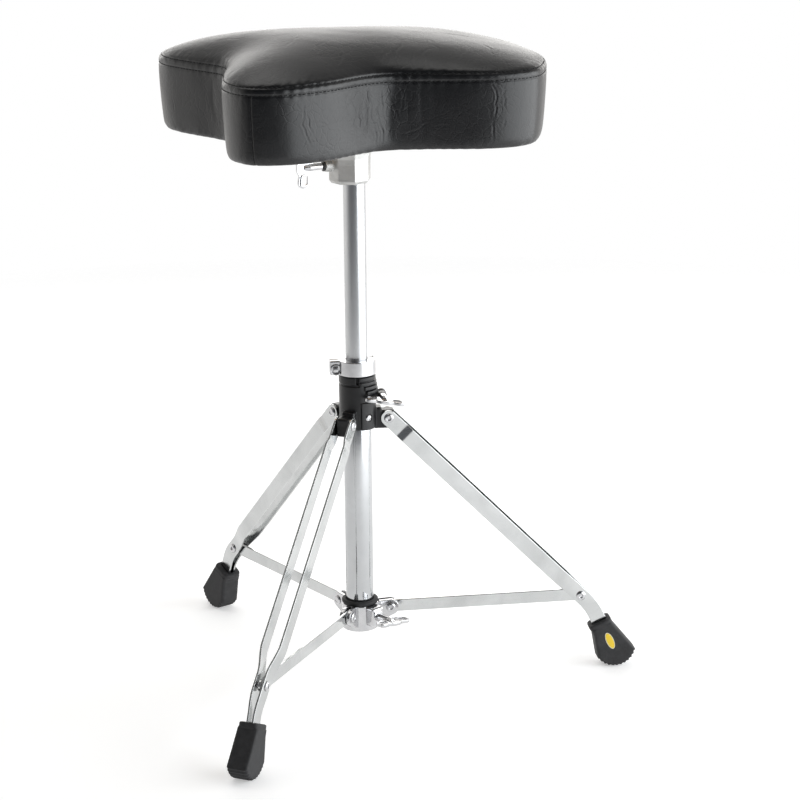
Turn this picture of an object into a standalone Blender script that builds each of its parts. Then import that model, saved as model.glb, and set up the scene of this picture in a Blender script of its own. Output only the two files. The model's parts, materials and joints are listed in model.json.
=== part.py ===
"""Drum throne: a padded saddle seat on a sliding post, in a folding tripod with flat double legs.

The seat faces -Y. Every piece hangs from an empty on its joint's axis, in metres, with +Z up.
"""

import math

import bmesh
import bpy
from mathutils import Matrix, Vector

GAP = 0.0003  # left between pieces that touch

# Column: where it stands from the middle of the object's footprint, and its two tubes.
COLUMN = Vector((0.0366, -0.0352, 0))
TUBE_RADIUS, TUBE_BORE = 0.0143, 0.0127
TUBE_BOTTOM, TUBE_TOP = 0.0590, 0.298
PLUG_BOTTOM, PLUG_TOP = 0.0567, 0.066
POST_RADIUS, POST_BORE = 0.0111, 0.0096
POST_BOTTOM, POST_TOP = 0.215, 0.566
SLIDING_BORE = TUBE_RADIUS + GAP  # of both hubs

# Tripod: the pivots of one leg, as distances from the column and heights.
LEG_ANGLES = [math.radians(74.7 + 120 * k) for k in range(3)]
LEG_PIVOT = Vector((0.0312, 0, 0.2833))
BRACE_PIVOT = Vector((0.0315, 0, 0.0775))
LEG_SLOPE = math.radians(44.6)  # from the vertical, down to the brace
FOOT_SLOPE = math.radians(24)  # from the vertical, at the foot
LEG_TO_BRACE = 0.2866
BEND_START, BEND_LENGTH = 0.2906, 0.0263
BAR_WIDTH, BAR_THICKNESS = 0.016, 0.002
BAR_END = 0.347
BRACE_WIDTH, BRACE_THICKNESS = 0.013, 0.0028
PIVOT_HOLE = 0.0033
# Half the distance between a leg's two bars, along the leg: they close in above the brace.
BAR_SPREAD = ((-0.008, 0.0082), (0.018, 0.0082), (0.028, 0.0098), (0.246, 0.0098),
              (0.278, 0.0045), (0.294, 0.0045), (0.318, 0.0029), (0.347, 0.0029))

# Top hub, and the wing bolt that clamps the post in it.
HUB_BOTTOM, HUB_GROOVE, HUB_TOP = 0.2738, 0.3205, 0.3295
HUB_RADIUS = 0.0183
LUG_LOW, LUG_HIGH = (0.016, -0.0069, 0.272), (0.0375, 0.0069, 0.2912)
PANEL_RADIUS, PANEL_TOP = 0.0196, 0.3023  # the raised part of the wall that the screw goes into
PANEL_START, PANEL_END = math.radians(-8), math.radians(62)
CLAMP_ANGLE = math.radians(75)
CLAMP_BOLT = Vector((0.0250, 0, 0.306))
EAR_FRONT, EAR_BACK, EAR_RADIUS = -0.009, 0.0036, 0.0050
SLIT_BOTTOM, SLIT_HALF = 0.2990, 0.0012
# Ribs above the clamp's ears, from the top: bottom, top, radius and the angle each starts at.
HUB_RIBS = ((0.3249, 0.3287, 0.0189, -14), (0.3203, 0.3239, 0.0196, -12), (0.3158, 0.3193, 0.0205, 4),
            (0.3112, 0.3148, 0.0214, 8))
RIB_END = math.radians(108)
NOTCH_ANGLE, NOTCH_BOTTOM, NOTCH_HALF = math.radians(-19.6), 0.3215, 0.0014
SCREW_ANGLE, SCREW_HEIGHT = math.radians(15.9), 0.2864

# Memory lock: a two-piece ring round the post, on top of the hub.
LOCK_BOTTOM, LOCK_TOP = 0.3302, 0.3450
LOCK_BORE, LOCK_RADIUS = POST_RADIUS + GAP, 0.0195
LOCK_EAR_ANGLE = math.radians(253.9)
LOCK_PIN_ANGLE = math.radians(98.9)
LOCK_PIN_DISTANCE = 0.019
LOCK_BOLT = Vector((0.0217, 0, 0.3355))
KNUCKLE_RADIUS, KNUCKLE_HEIGHT = 0.0031, 0.0048
KNUCKLE_CLEARANCE = math.radians(12.5)

# Lower hub: it slides up the tube as the legs fold.
COLLAR_BOTTOM, COLLAR_TOP, COLLAR_RADIUS = 0.0567, 0.0842, 0.0187
RING_TOP = 0.0886
CLEVIS_RADIUS, CLEVIS_NEAR, CLEVIS_FAR = 0.0085, 0.0019, 0.0059  # faces of an ear, across the brace
BOSS_LOW, BOSS_REACH, BOSS_HALF = 0.0645, 0.0280, 0.0080
LOWER_BOLT_ANGLE, LOWER_BOLT_HEIGHT = math.radians(21.9), 0.0735

# Seat.
SEAT_BOTTOM, SEAM_HEIGHT, BAND_HEIGHT = 0.5745, 0.0655, 0.0075
BOARD_THICKNESS, BOARD_INSET = 0.012, 0.0165
BRACKET_BOTTOM, BRACKET_TOP = 0.5265, 0.5739
SOCKET_TURN, SOCKET_OFFSET, BOSS_END = math.radians(-7.5), -0.0043, -0.0310
SEAT_BOLT_HEIGHT = 0.5443
FLANGE_HALF, FLANGE_THICKNESS = 0.055, 0.0034
SEAT_SCREW_PLACES = [(x, y) for x in (-0.042, 0.042) for y in (-0.042, 0.042)]
SEAT_REACH = 0.145  # mean distance from the column to the seat's edge
# Right half of the seat's outline, from the notch between the thighs round to the back.
SEAT_OUTLINE = ((0, -0.133), (0.055, -0.152), (0.094, -0.163), (0.131, -0.156), (0.1465, -0.1225),
                (0.1395, -0.080), (0.1125, -0.020), (0.1185, 0.021), (0.1435, 0.083), (0.1440, 0.1195),
                (0.1245, 0.147), (0.065, 0.177), (0, 0.185))
# The cushion's side, as distances in from the outline and heights above its bottom.
SEAT_SIDE = ((0.0070, 0.0), (0.0026, 0.0014), (0.0007, 0.0050), (0.0, 0.0120), (0.0, 0.0535))
# Its crown, as distances in from the outline and heights above the band, over the column.
SEAT_CROWN = ((0.0060, 0.0040), (0.0135, 0.0075), (0.0260, 0.0123), (0.0440, 0.0176),
              (0.0680, 0.0230), (0.0960, 0.0272), (0.1260, 0.0296))
CROWN_TILT = 2.0  # share by which the crown grows towards the front, per metre

# Rubber foot, in the leg's plane: across its axis, and down it from the end of the bend.
FOOT_RIM, FOOT_NECK = 0.0065, 0.0125
FOOT_THICKNESS = 0.022
SOLE_CENTRE, SOLE_RADIUS = (0.0042, 0.0382), 0.0225
SOLE_START, SOLE_END = math.radians(168), math.radians(36)
TOOTH_DEPTH, TEETH = 0.0014, 11
SOLE_PAD, PAD_HEIGHT = 0.0065, 0.004  # how far the flat under the foot reaches, and what it takes in
BADGE_CENTRE, BADGE_HALF = (0.0015, 0.029), (0.0040, 0.0098)
BADGE_THICKNESS = 0.0007


# ---------------------------------------------------------------- shapes

def mesh_from(bm):
    bmesh.ops.remove_doubles(bm, verts=bm.verts, dist=1e-6)
    bmesh.ops.recalc_face_normals(bm, faces=bm.faces)
    mesh = bpy.data.meshes.new("shape")
    bm.to_mesh(mesh)
    bm.free()
    return mesh


def moved(mesh, matrix):
    copy = mesh.copy()
    copy.transform(matrix)
    return copy


def turned_to(mesh, angle):
    """The shape swung round the column, from the X axis to this angle."""
    return moved(mesh, Matrix.Rotation(angle, 4, "Z"))


def aimed(mesh, point, direction):
    """The shape with its Z axis along a direction, and its origin at a point."""
    turn = Vector(direction).to_track_quat("Z", "Y").to_matrix().to_4x4()
    return moved(mesh, Matrix.Translation(point) @ turn)


def box(low, high, bevel=0.0):
    bm = bmesh.new()
    bmesh.ops.create_cube(bm, size=1)
    low, high = Vector(low), Vector(high)
    bmesh.ops.scale(bm, vec=high - low, verts=bm.verts)
    bmesh.ops.translate(bm, vec=(low + high) / 2, verts=bm.verts)
    if bevel:
        bmesh.ops.bevel(bm, geom=bm.edges[:], offset=bevel, segments=1, affect="EDGES")
    return mesh_from(bm)


def rod(radius, start, end, sides=12):
    start, end = Vector(start), Vector(end)
    turn = (end - start).to_track_quat("Z", "Y").to_matrix().to_4x4()
    bm = bmesh.new()
    bmesh.ops.create_cone(bm, cap_ends=True, segments=sides, radius1=radius, radius2=radius,
                          depth=(end - start).length,
                          matrix=Matrix.Translation((start + end) / 2) @ turn)
    return mesh_from(bm)


def turned(profile, sides=32):
    """An outline of (radius, height) points spun about Z. One that starts on Z also ends there."""
    bm = bmesh.new()
    verts = [bm.verts.new((radius, 0, height)) for radius, height in profile]
    ends = verts[1:] if profile[0][0] == 0 else verts[1:] + verts[:1]
    edges = [bm.edges.new(pair) for pair in zip(verts, ends)]
    bmesh.ops.spin(bm, geom=verts + edges, cent=(0, 0, 0), axis=(0, 0, 1), angle=math.tau,
                   steps=sides, use_merge=True)
    return mesh_from(bm)


def loft(rings):
    """A closed skin through rings of the same number of points, with flat ends."""
    bm = bmesh.new()
    loops = [[bm.verts.new(point) for point in ring] for ring in rings]
    for low, high in zip(loops, loops[1:]):
        for i, corner in enumerate(low):
            after = (i + 1) % len(low)
            bm.faces.new((corner, low[after], high[after], high[i]))
    bm.faces.new(loops[0])
    bm.faces.new(loops[-1])
    return mesh_from(bm)


def plate(outline, low, high):
    """An outline of (x, z) points with a thickness along Y."""
    return loft([[(x, y, z) for x, z in outline] for y in (low, high)])


def arc_block(inner, outer, low, high, start, end, steps):
    """A square section swept round Z."""
    section = ((inner, low), (outer, low), (outer, high), (inner, high))
    angles = [start + (end - start) * i / steps for i in range(steps + 1)]
    return loft([[(r * math.cos(a), r * math.sin(a), z) for r, z in section] for a in angles])


def arc(centre, radius, start, end, steps):
    angles = [start + (end - start) * i / steps for i in range(steps + 1)]
    return [(centre[0] + radius * math.cos(a), centre[1] + radius * math.sin(a)) for a in angles]


def after_boolean(mesh, others, operation):
    objects = [bpy.data.objects.new("helper", shape) for shape in (mesh, *others)]
    for helper in objects:
        bpy.context.collection.objects.link(helper)
    base = objects[0]
    for helper in objects[1:]:
        modifier = base.modifiers.new("boolean", "BOOLEAN")
        modifier.operation = operation
        modifier.object = helper
    graph = bpy.context.evaluated_depsgraph_get()
    result = bpy.data.meshes.new_from_object(base.evaluated_get(graph))
    for helper in objects:
        bpy.data.objects.remove(helper)
    return result


def cut(mesh, *others):
    return after_boolean(mesh, others, "DIFFERENCE")


def joined(mesh, *others):
    return after_boolean(mesh, others, "UNION")


# ---------------------------------------------------------------- scene

def clear_scene():
    for thing in list(bpy.data.objects):
        bpy.data.objects.remove(thing)


def finish(name, colour, roughness, metallic):
    material = bpy.data.materials.new(name)
    material.use_nodes = True
    shader = material.node_tree.nodes["Principled BSDF"]
    shader.inputs["Base Color"].default_value = (*colour, 1)
    shader.inputs["Roughness"].default_value = roughness
    shader.inputs["Metallic"].default_value = metallic
    return material


def axis_at(name, place, parent=None, turn=0.0):
    """An empty on a joint's axis, which the joint's pieces hang from."""
    empty = bpy.data.objects.new(name, None)
    empty.location = place
    empty.rotation_euler.z = turn
    empty.parent = parent
    bpy.context.collection.objects.link(empty)
    return empty


def piece(name, mesh, material, parent):
    shape = mesh.copy()
    shape.name = name
    shape.materials.clear()
    shape.materials.append(material)
    shape.shade_smooth()
    shape.set_sharp_from_angle(angle=math.radians(35))
    made = bpy.data.objects.new(name, shape)
    made.parent = parent
    bpy.context.collection.objects.link(made)
    return made


# ---------------------------------------------------------------- fasteners

def domed_bolt(head_radius, head_height, shank_radius, shank_length):
    """Its head stands on +Z, with a round socket in it, and its shank runs down."""
    socket = head_radius * 0.4
    profile = ((0, head_height * 0.35), (socket, head_height * 0.35), (socket, head_height),
               (head_radius * 0.75, head_height * 0.9), (head_radius, head_height * 0.35),
               (head_radius, 0), (shank_radius, 0), (shank_radius, -shank_length), (0, -shank_length))
    return turned(profile, 12)


def round_nut(radius, height, bore):
    profile = ((bore, 0), (radius, 0), (radius, height * 0.5), (radius * 0.8, height), (bore, height))
    return turned(profile, 12)


def wing_bolt(shank_radius, shank_length, collar_radius, collar_length):
    """A bolt along Z, its shank below the origin, with two pierced wings above its collar."""
    reach, depth, half_thickness = 0.0205, 0.015, 0.0017
    base = collar_length
    half = [(0.0035, base - 0.002), (0.012, base + 0.0005), (reach - 0.001, base + 0.003),
            (reach, base + 0.0045), (reach, base + 0.011), (reach - 0.002, base + 0.013),
            (0.010, base + depth - 0.001), (0.004, base + depth)]
    outline = half + [(-x, z) for x, z in reversed(half)]
    wings = plate(outline, -half_thickness, half_thickness)
    window = rod(0.0028, (0.0145, -0.01, base + 0.0075), (0.0145, 0.01, base + 0.0075), 12)
    windows = [window, moved(window, Matrix.Rotation(math.pi, 4, "Z"))]
    stem = turned(((0, base + 0.006), (collar_radius * 0.7, base + 0.006), (collar_radius, base),
                   (collar_radius, 0), (shank_radius, 0), (shank_radius, -shank_length),
                   (0, -shank_length)), 12)
    return joined(cut(wings, *windows), stem)


# ---------------------------------------------------------------- column

def lower_tube():
    return turned(((TUBE_RADIUS, TUBE_TOP), (TUBE_RADIUS, TUBE_BOTTOM),
                   (TUBE_BORE, TUBE_BOTTOM), (TUBE_BORE, TUBE_TOP)))


def tube_plug():
    flange = TUBE_BOTTOM - GAP
    return turned(((0, PLUG_TOP), (TUBE_BORE - GAP, PLUG_TOP), (TUBE_BORE - GAP, flange),
                   (TUBE_RADIUS, flange), (TUBE_RADIUS - 0.001, PLUG_BOTTOM), (0, PLUG_BOTTOM)), 24)


def across_hole(place, radius=PIVOT_HOLE, reach=0.02):
    """A rod along Y through a place, which cuts a hole."""
    return rod(radius, place - Vector((0, reach, 0)), place + Vector((0, reach, 0)))


def top_hub():
    """A ring with three lugs for the legs, and a split sleeve with a pair of ears to clamp the post."""
    body = turned(((SLIDING_BORE, HUB_BOTTOM), (HUB_RADIUS - 0.001, HUB_BOTTOM),
                   (HUB_RADIUS, HUB_BOTTOM + 0.001), (HUB_RADIUS, HUB_GROOVE - 0.001),
                   (HUB_RADIUS - 0.0008, HUB_GROOVE), (HUB_RADIUS, HUB_GROOVE + 0.001),
                   (HUB_RADIUS, HUB_TOP - 0.0006), (HUB_RADIUS - 0.0006, HUB_TOP),
                   (SLIDING_BORE, HUB_TOP)))
    inside = SLIDING_BORE + 0.0016  # where the parts outside the sleeve start, within its wall
    panel = arc_block(inside, PANEL_RADIUS, HUB_BOTTOM + 0.0004, PANEL_TOP, PANEL_START, PANEL_END, 8)
    ribs = [arc_block(inside + 0.0003, radius, low, high, math.radians(start), RIB_END, 8)
            for low, high, radius, start in HUB_RIBS]
    lug = box(LUG_LOW, LUG_HIGH, 0.0015)
    front, back = (CLAMP_BOLT + Vector((0, y, 0)) for y in (EAR_FRONT, EAR_BACK))
    ears = joined(box((0.016, front.y, front.z - 0.0045), (front.x, back.y, front.z + 0.0045)),
                  rod(EAR_RADIUS, front, back, 24))
    slit = box((0.010, -SLIT_HALF, SLIT_BOTTOM), (0.035, SLIT_HALF, 0.34))
    notch = box((0.010, -NOTCH_HALF, NOTCH_BOTTOM), (0.025, NOTCH_HALF, 0.34))
    screw_hole = joined(rod(0.0023, (0.010, 0, SCREW_HEIGHT), (0.025, 0, SCREW_HEIGHT)),
                        rod(0.0040, (0.0175, 0, SCREW_HEIGHT), (0.025, 0, SCREW_HEIGHT)))
    solid = joined(body, panel, *ribs, turned_to(ears, CLAMP_ANGLE),
                   *(turned_to(lug, a) for a in LEG_ANGLES))
    return cut(solid, turned_to(slit, CLAMP_ANGLE), turned_to(across_hole(CLAMP_BOLT), CLAMP_ANGLE),
               turned_to(notch, NOTCH_ANGLE), turned_to(screw_hole, SCREW_ANGLE),
               *(turned_to(across_hole(LEG_PIVOT), a) for a in LEG_ANGLES))


def hub_bushing():
    low = TUBE_TOP + GAP
    return turned(((LOCK_BORE, low), (TUBE_RADIUS, low), (TUBE_RADIUS, HUB_TOP), (LOCK_BORE, HUB_TOP)))


def hub_screw():
    shank = rod(0.0020, (0.0147, 0, SCREW_HEIGHT), (0.0182, 0, SCREW_HEIGHT), 12)
    head = rod(0.0036, (0.0178, 0, SCREW_HEIGHT), (0.0201, 0, SCREW_HEIGHT), 16)
    slots = [box((0.0193, -0.0024, SCREW_HEIGHT - 0.0004), (0.022, 0.0024, SCREW_HEIGHT + 0.0004)),
             box((0.0193, -0.0004, SCREW_HEIGHT - 0.0024), (0.022, 0.0004, SCREW_HEIGHT + 0.0024))]
    return turned_to(cut(joined(head, shank), *slots), SCREW_ANGLE)


def build_column(stand, chrome, black, nylon):
    piece("lower_tube", lower_tube(), chrome, stand)
    piece("lower_tube_plug", tube_plug(), nylon, stand)
    piece("top_hub", top_hub(), black, stand)
    piece("hub_bushing", hub_bushing(), nylon, stand)
    piece("hub_fixing_screw", hub_screw(), chrome, stand)
    nut = aimed(round_nut(0.0056, 0.004, PIVOT_HOLE), (CLAMP_BOLT.x, EAR_BACK + GAP, CLAMP_BOLT.z),
                (0, 1, 0))
    piece("hub_clamp_nut", turned_to(nut, CLAMP_ANGLE), chrome, stand)
    bolt_axis = axis_at("hub_wing_bolt_axis", Matrix.Rotation(CLAMP_ANGLE, 3, "Z") @ CLAMP_BOLT,
                        stand, CLAMP_ANGLE)
    bolt = wing_bolt(0.0030, 0.0170, 0.0046, 0.0090)
    bolt = moved(bolt, Matrix.Rotation(math.radians(-10), 4, "Z"))
    piece("hub_wing_bolt", aimed(bolt, (0, EAR_FRONT - GAP, 0), (0, -1, 0)), chrome, bolt_axis)


# ---------------------------------------------------------------- memory lock and post

def lock_knuckle(low, high, toward):
    """A knuckle round the lock's pin, with the web that joins it to one half of the ring."""
    pin = (LOCK_PIN_DISTANCE * math.cos(LOCK_PIN_ANGLE), LOCK_PIN_DISTANCE * math.sin(LOCK_PIN_ANGLE))
    barrel = rod(KNUCKLE_RADIUS, (*pin, low), (*pin, high), 16)
    web = arc_block(LOCK_BORE + 0.0012, LOCK_RADIUS, low, high, LOCK_PIN_ANGLE, toward, 2)
    return joined(barrel, web)


def lock_half(start, end, ear_side, knuckles):
    """One half of the ring, from the ear's gap to the pin's clearance."""
    near_pin = KNUCKLE_CLEARANCE * (1 if ear_side < 0 else -1)
    arc_end = LOCK_PIN_ANGLE + near_pin
    ring = arc_block(LOCK_BORE, LOCK_RADIUS, LOCK_BOTTOM, LOCK_TOP, start, end, 14)
    ear_low, ear_high = sorted((ear_side * 0.0008, ear_side * 0.0072))
    ear = box((0.0150, ear_low, LOCK_BOTTOM), (0.0278, ear_high, LOCK_TOP), 0.0009)
    webs = [lock_knuckle(low, high, arc_end + near_pin * 0.4) for low, high in knuckles]
    bore = rod(LOCK_BORE, (0, 0, 0.30), (0, 0, 0.36), 32)
    pin = Vector((LOCK_PIN_DISTANCE, 0, 0))
    pin_hole = rod(0.0016, pin + Vector((0, 0, 0.30)), pin + Vector((0, 0, 0.36)), 12)
    solid = joined(ring, turned_to(ear, LOCK_EAR_ANGLE), *webs)
    return cut(solid, bore, turned_to(pin_hole, LOCK_PIN_ANGLE))


def lock_halves():
    gap = math.radians(4)
    thirds = [LOCK_BOTTOM, LOCK_BOTTOM + KNUCKLE_HEIGHT, LOCK_TOP - KNUCKLE_HEIGHT, LOCK_TOP]
    middle = [(thirds[1] + GAP, thirds[2] - GAP)]
    outside = [(thirds[0], thirds[1]), (thirds[2], thirds[3])]
    front = lock_half(LOCK_EAR_ANGLE - math.tau + gap, LOCK_PIN_ANGLE - KNUCKLE_CLEARANCE, 1, middle)
    back = lock_half(LOCK_EAR_ANGLE - gap, LOCK_PIN_ANGLE + KNUCKLE_CLEARANCE, -1, outside)
    through = rod(0.0026, (LOCK_BOLT.x, -0.001, LOCK_BOLT.z), (LOCK_BOLT.x, 0.01, LOCK_BOLT.z))
    recess = rod(0.0046, (LOCK_BOLT.x, 0.0042, LOCK_BOLT.z), (LOCK_BOLT.x, 0.01, LOCK_BOLT.z))
    loose = rod(0.0032, (LOCK_BOLT.x, -0.01, LOCK_BOLT.z), (LOCK_BOLT.x, 0.001, LOCK_BOLT.z))
    front = cut(front, turned_to(joined(through, recess), LOCK_EAR_ANGLE))
    return front, cut(back, turned_to(loose, LOCK_EAR_ANGLE))


def key_bolt():
    """A bolt with a square head for a drum key, along Z from the lock's centre line."""
    head = box((-0.0025, -0.0025, 0.0046), (0.0025, 0.0025, 0.0078), 0.0004)
    return joined(rod(0.0021, (0, 0, -0.0065), (0, 0, 0.0050), 12), head)


def build_lock_and_post(stand, chrome):
    front, back = lock_halves()
    lock = axis_at("post_turn_axis", (0, 0, LOCK_BOTTOM), stand)
    drop = Matrix.Translation((0, 0, -LOCK_BOTTOM))
    piece("memory_lock_front", moved(front, drop), chrome, lock)
    pin_place = Matrix.Rotation(LOCK_PIN_ANGLE, 3, "Z") @ Vector((LOCK_PIN_DISTANCE, 0, 0))
    gate = axis_at("lock_gate_axis", pin_place, lock)
    piece("memory_lock_gate", moved(back, drop @ Matrix.Translation(-pin_place)), chrome, gate)
    piece("memory_lock_pin", rod(0.0013, (0, 0, -0.0002), (0, 0, LOCK_TOP - LOCK_BOTTOM + 0.0006), 12),
          chrome, axis_at("lock_pin_place", pin_place, lock))
    bolt_place = Matrix.Rotation(LOCK_EAR_ANGLE, 3, "Z") @ LOCK_BOLT - Vector((0, 0, LOCK_BOTTOM))
    bolt_axis = axis_at("lock_bolt_axis", bolt_place, lock, LOCK_EAR_ANGLE)
    piece("memory_lock_key_bolt", aimed(key_bolt(), (0, 0, 0), (0, 1, 0)), chrome, bolt_axis)
    post = turned(((POST_RADIUS, POST_TOP), (POST_RADIUS, POST_BOTTOM),
                   (POST_BORE, POST_BOTTOM), (POST_BORE, POST_TOP)))
    piece("post_tube", moved(post, drop), chrome, lock)
    return lock


# ---------------------------------------------------------------- seat

def smooth_loop(points, steps):
    """Points along a closed Catmull-Rom curve."""
    count, out = len(points), []
    for i in range(count):
        a, b, c, d = (Vector(points[(i + k) % count]) for k in (-1, 0, 1, 2))
        for step in range(steps):
            t = step / steps
            out.append(0.5 * (2 * b + (c - a) * t + (2 * a - 5 * b + 4 * c - d) * t ** 2
                              + (3 * b - a - 3 * c + d) * t ** 3))
    return out


def seat_ring(inset, height):
    """The seat's outline drawn in towards the column, at one height."""
    left = [(-x, y) for x, y in SEAT_OUTLINE[-2:0:-1]]
    scale = 1 - inset / SEAT_REACH
    return [(scale * p.x, scale * p.y, height) for p in smooth_loop([*SEAT_OUTLINE, *left], 2)]


def seat_cushion():
    pocket, pocket_inset = SEAT_BOTTOM + BOARD_THICKNESS + 0.0004, BOARD_INSET - 0.0005
    rings = [seat_ring(pocket_inset, pocket), seat_ring(pocket_inset, SEAT_BOTTOM)]
    rings += [seat_ring(inset, SEAT_BOTTOM + rise) for inset, rise in SEAT_SIDE]
    seam, band = SEAT_BOTTOM + SEAM_HEIGHT, SEAT_BOTTOM + SEAM_HEIGHT + BAND_HEIGHT
    rings += [seat_ring(0.0006, seam), seat_ring(0.0016, band)]
    for inset, rise in SEAT_CROWN:
        rings.append([(x, y, band + rise * (1 - CROWN_TILT * y)) for x, y, _ in seat_ring(inset, 0)])
    return loft(rings)


def seat_board():
    low = BRACKET_TOP + GAP
    board = loft([seat_ring(BOARD_INSET, low), seat_ring(BOARD_INSET, SEAT_BOTTOM + BOARD_THICKNESS)])
    holes = [rod(0.0026, (x, y, 0.5), (x, y, low + 0.010), 12) for x, y in SEAT_SCREW_PLACES]
    return cut(board, *holes)


def seat_bracket():
    """A cast socket, eight-sided outside, that flares into a square flange under the board."""
    flange_low = BRACKET_TOP - FLANGE_THICKNESS
    flare = ((0.0190, BRACKET_BOTTOM), (0.0212, BRACKET_BOTTOM + 0.003), (0.0212, 0.548),
             (0.0235, 0.558), (0.0290, 0.567), (0.0360, flange_low + 0.001))
    socket = turned(((0, BRACKET_BOTTOM), *flare, (0, flange_low + 0.001)), 8)
    socket = moved(turned_to(socket, SOCKET_TURN), Matrix.Translation((0, SOCKET_OFFSET, 0)))
    flange = box((-FLANGE_HALF, -FLANGE_HALF, flange_low), (FLANGE_HALF, FLANGE_HALF, BRACKET_TOP))
    boss = rod(0.0058, (0, -0.015, SEAT_BOLT_HEIGHT), (0, BOSS_END, SEAT_BOLT_HEIGHT))
    bore = rod(POST_RADIUS + GAP, (0, 0, 0.50), (0, 0, POST_TOP + GAP), 32)
    thread = rod(PIVOT_HOLE, (0, 0, SEAT_BOLT_HEIGHT), (0, -0.04, SEAT_BOLT_HEIGHT))
    holes = [rod(0.0026, (x, y, 0.56), (x, y, 0.58), 12) for x, y in SEAT_SCREW_PLACES]
    return cut(joined(socket, flange, boss), bore, thread, *holes)


def build_seat(stand, chrome, cast, vinyl, wood, black):
    seat = axis_at("seat_axis", (0, 0, 0), stand)
    piece("seat_cushion", seat_cushion(), vinyl, seat)
    piece("seat_board", seat_board(), wood, seat)
    piece("seat_bracket", seat_bracket(), cast, seat)
    screw = domed_bolt(0.0050, 0.0024, 0.0022, 0.0120)
    for number, (x, y) in enumerate(SEAT_SCREW_PLACES, 1):
        place = (x, y, BRACKET_TOP - FLANGE_THICKNESS - GAP)
        piece(f"seat_screw_{number}", aimed(screw, place, (0, 0, -1)), chrome, seat)
    washer = turned(((PIVOT_HOLE, 0), (0.0052, 0), (0.0052, 0.0017), (PIVOT_HOLE, 0.0017)), 16)
    piece("seat_bolt_washer", aimed(washer, (0, BOSS_END - GAP, SEAT_BOLT_HEIGHT), (0, -1, 0)), black, seat)
    bolt_axis = axis_at("seat_wing_bolt_axis", (0, 0, SEAT_BOLT_HEIGHT), seat)
    bolt = moved(wing_bolt(0.0030, 0.0216, 0.0036, 0.0120), Matrix.Rotation(math.pi / 2, 4, "Z"))
    piece("seat_wing_bolt", aimed(bolt, (0, BOSS_END - 0.0023, 0), (0, -1, 0)), chrome, bolt_axis)


# ---------------------------------------------------------------- tripod

def spread_at(along):
    """Half the distance between a leg's bars, this far down from the pivot."""
    for (start, low), (end, high) in zip(BAR_SPREAD, BAR_SPREAD[1:]):
        if along <= end:
            return low + (high - low) * (along - start) / (end - start)
    return BAR_SPREAD[-1][1]


def leg_line(along):
    """The point this far down a leg's line from its pivot, and its slope from the vertical."""
    straight = min(along, BEND_START)
    x, z = straight * math.sin(LEG_SLOPE), -straight * math.cos(LEG_SLOPE)
    radius = BEND_LENGTH / (LEG_SLOPE - FOOT_SLOPE)
    bent = min(max(along - BEND_START, 0), BEND_LENGTH)
    slope = LEG_SLOPE - bent / radius
    x += radius * (math.cos(slope) - math.cos(LEG_SLOPE))
    z -= radius * (math.sin(LEG_SLOPE) - math.sin(slope))
    rest = max(along - BEND_START - BEND_LENGTH, 0)
    return Vector((x + rest * math.sin(FOOT_SLOPE), 0, z - rest * math.cos(FOOT_SLOPE))), slope


def leg_bar(side):
    """One flat bar of a leg, with its origin on the leg's pivot. Its top end is round."""
    end = BAR_WIDTH / 2
    stations = [-end, -end * 0.8, -end * 0.4, 0, 0.006, 0.018, 0.028, 0.12, 0.246, 0.278, 0.294,
                0.300, 0.306, 0.312, 0.318, BAR_END]
    rings = []
    for along in stations:
        point, slope = leg_line(along)
        half = math.sqrt(max(end ** 2 - min(along, 0) ** 2, 0.0012 ** 2))
        across = Vector((math.cos(slope), 0, math.sin(slope))) * half
        middle = side * spread_at(along)
        rings.append([point + across * edge + Vector((0, middle + face * BAR_THICKNESS / 2, 0))
                      for edge, face in ((-1, -1), (1, -1), (1, 1), (-1, 1))])
    joint, _ = leg_line(LEG_TO_BRACE)
    return cut(loft(rings), across_hole(Vector()), across_hole(joint))


def foot_outline():
    """The foot's outline in the leg's plane, as (across, down) points from the end of the bend."""
    rim, neck = 0.0126, 0.0115
    outline = [(-neck, FOOT_NECK), (-rim, FOOT_NECK - 0.0015), (-rim, FOOT_RIM + 0.001),
               (-neck, FOOT_RIM), (neck, FOOT_RIM), (rim, FOOT_RIM + 0.001),
               (rim, FOOT_NECK - 0.0015), (neck + 0.0003, FOOT_NECK)]
    for i in range(2 * TEETH + 1):
        angle = SOLE_END + (SOLE_START - SOLE_END) * i / (2 * TEETH)
        radius = SOLE_RADIUS - TOOTH_DEPTH * (i % 2)
        outline.append((SOLE_CENTRE[0] + radius * math.cos(angle),
                        SOLE_CENTRE[1] + radius * math.sin(angle)))
    return outline


def to_leg(across, down):
    """A point of the foot in the leg's plane, from the leg's pivot."""
    start, _ = leg_line(BEND_START + BEND_LENGTH)
    return (start + Vector((math.cos(FOOT_SLOPE), 0, math.sin(FOOT_SLOPE))) * across
            + Vector((math.sin(FOOT_SLOPE), 0, -math.cos(FOOT_SLOPE))) * down)


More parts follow.
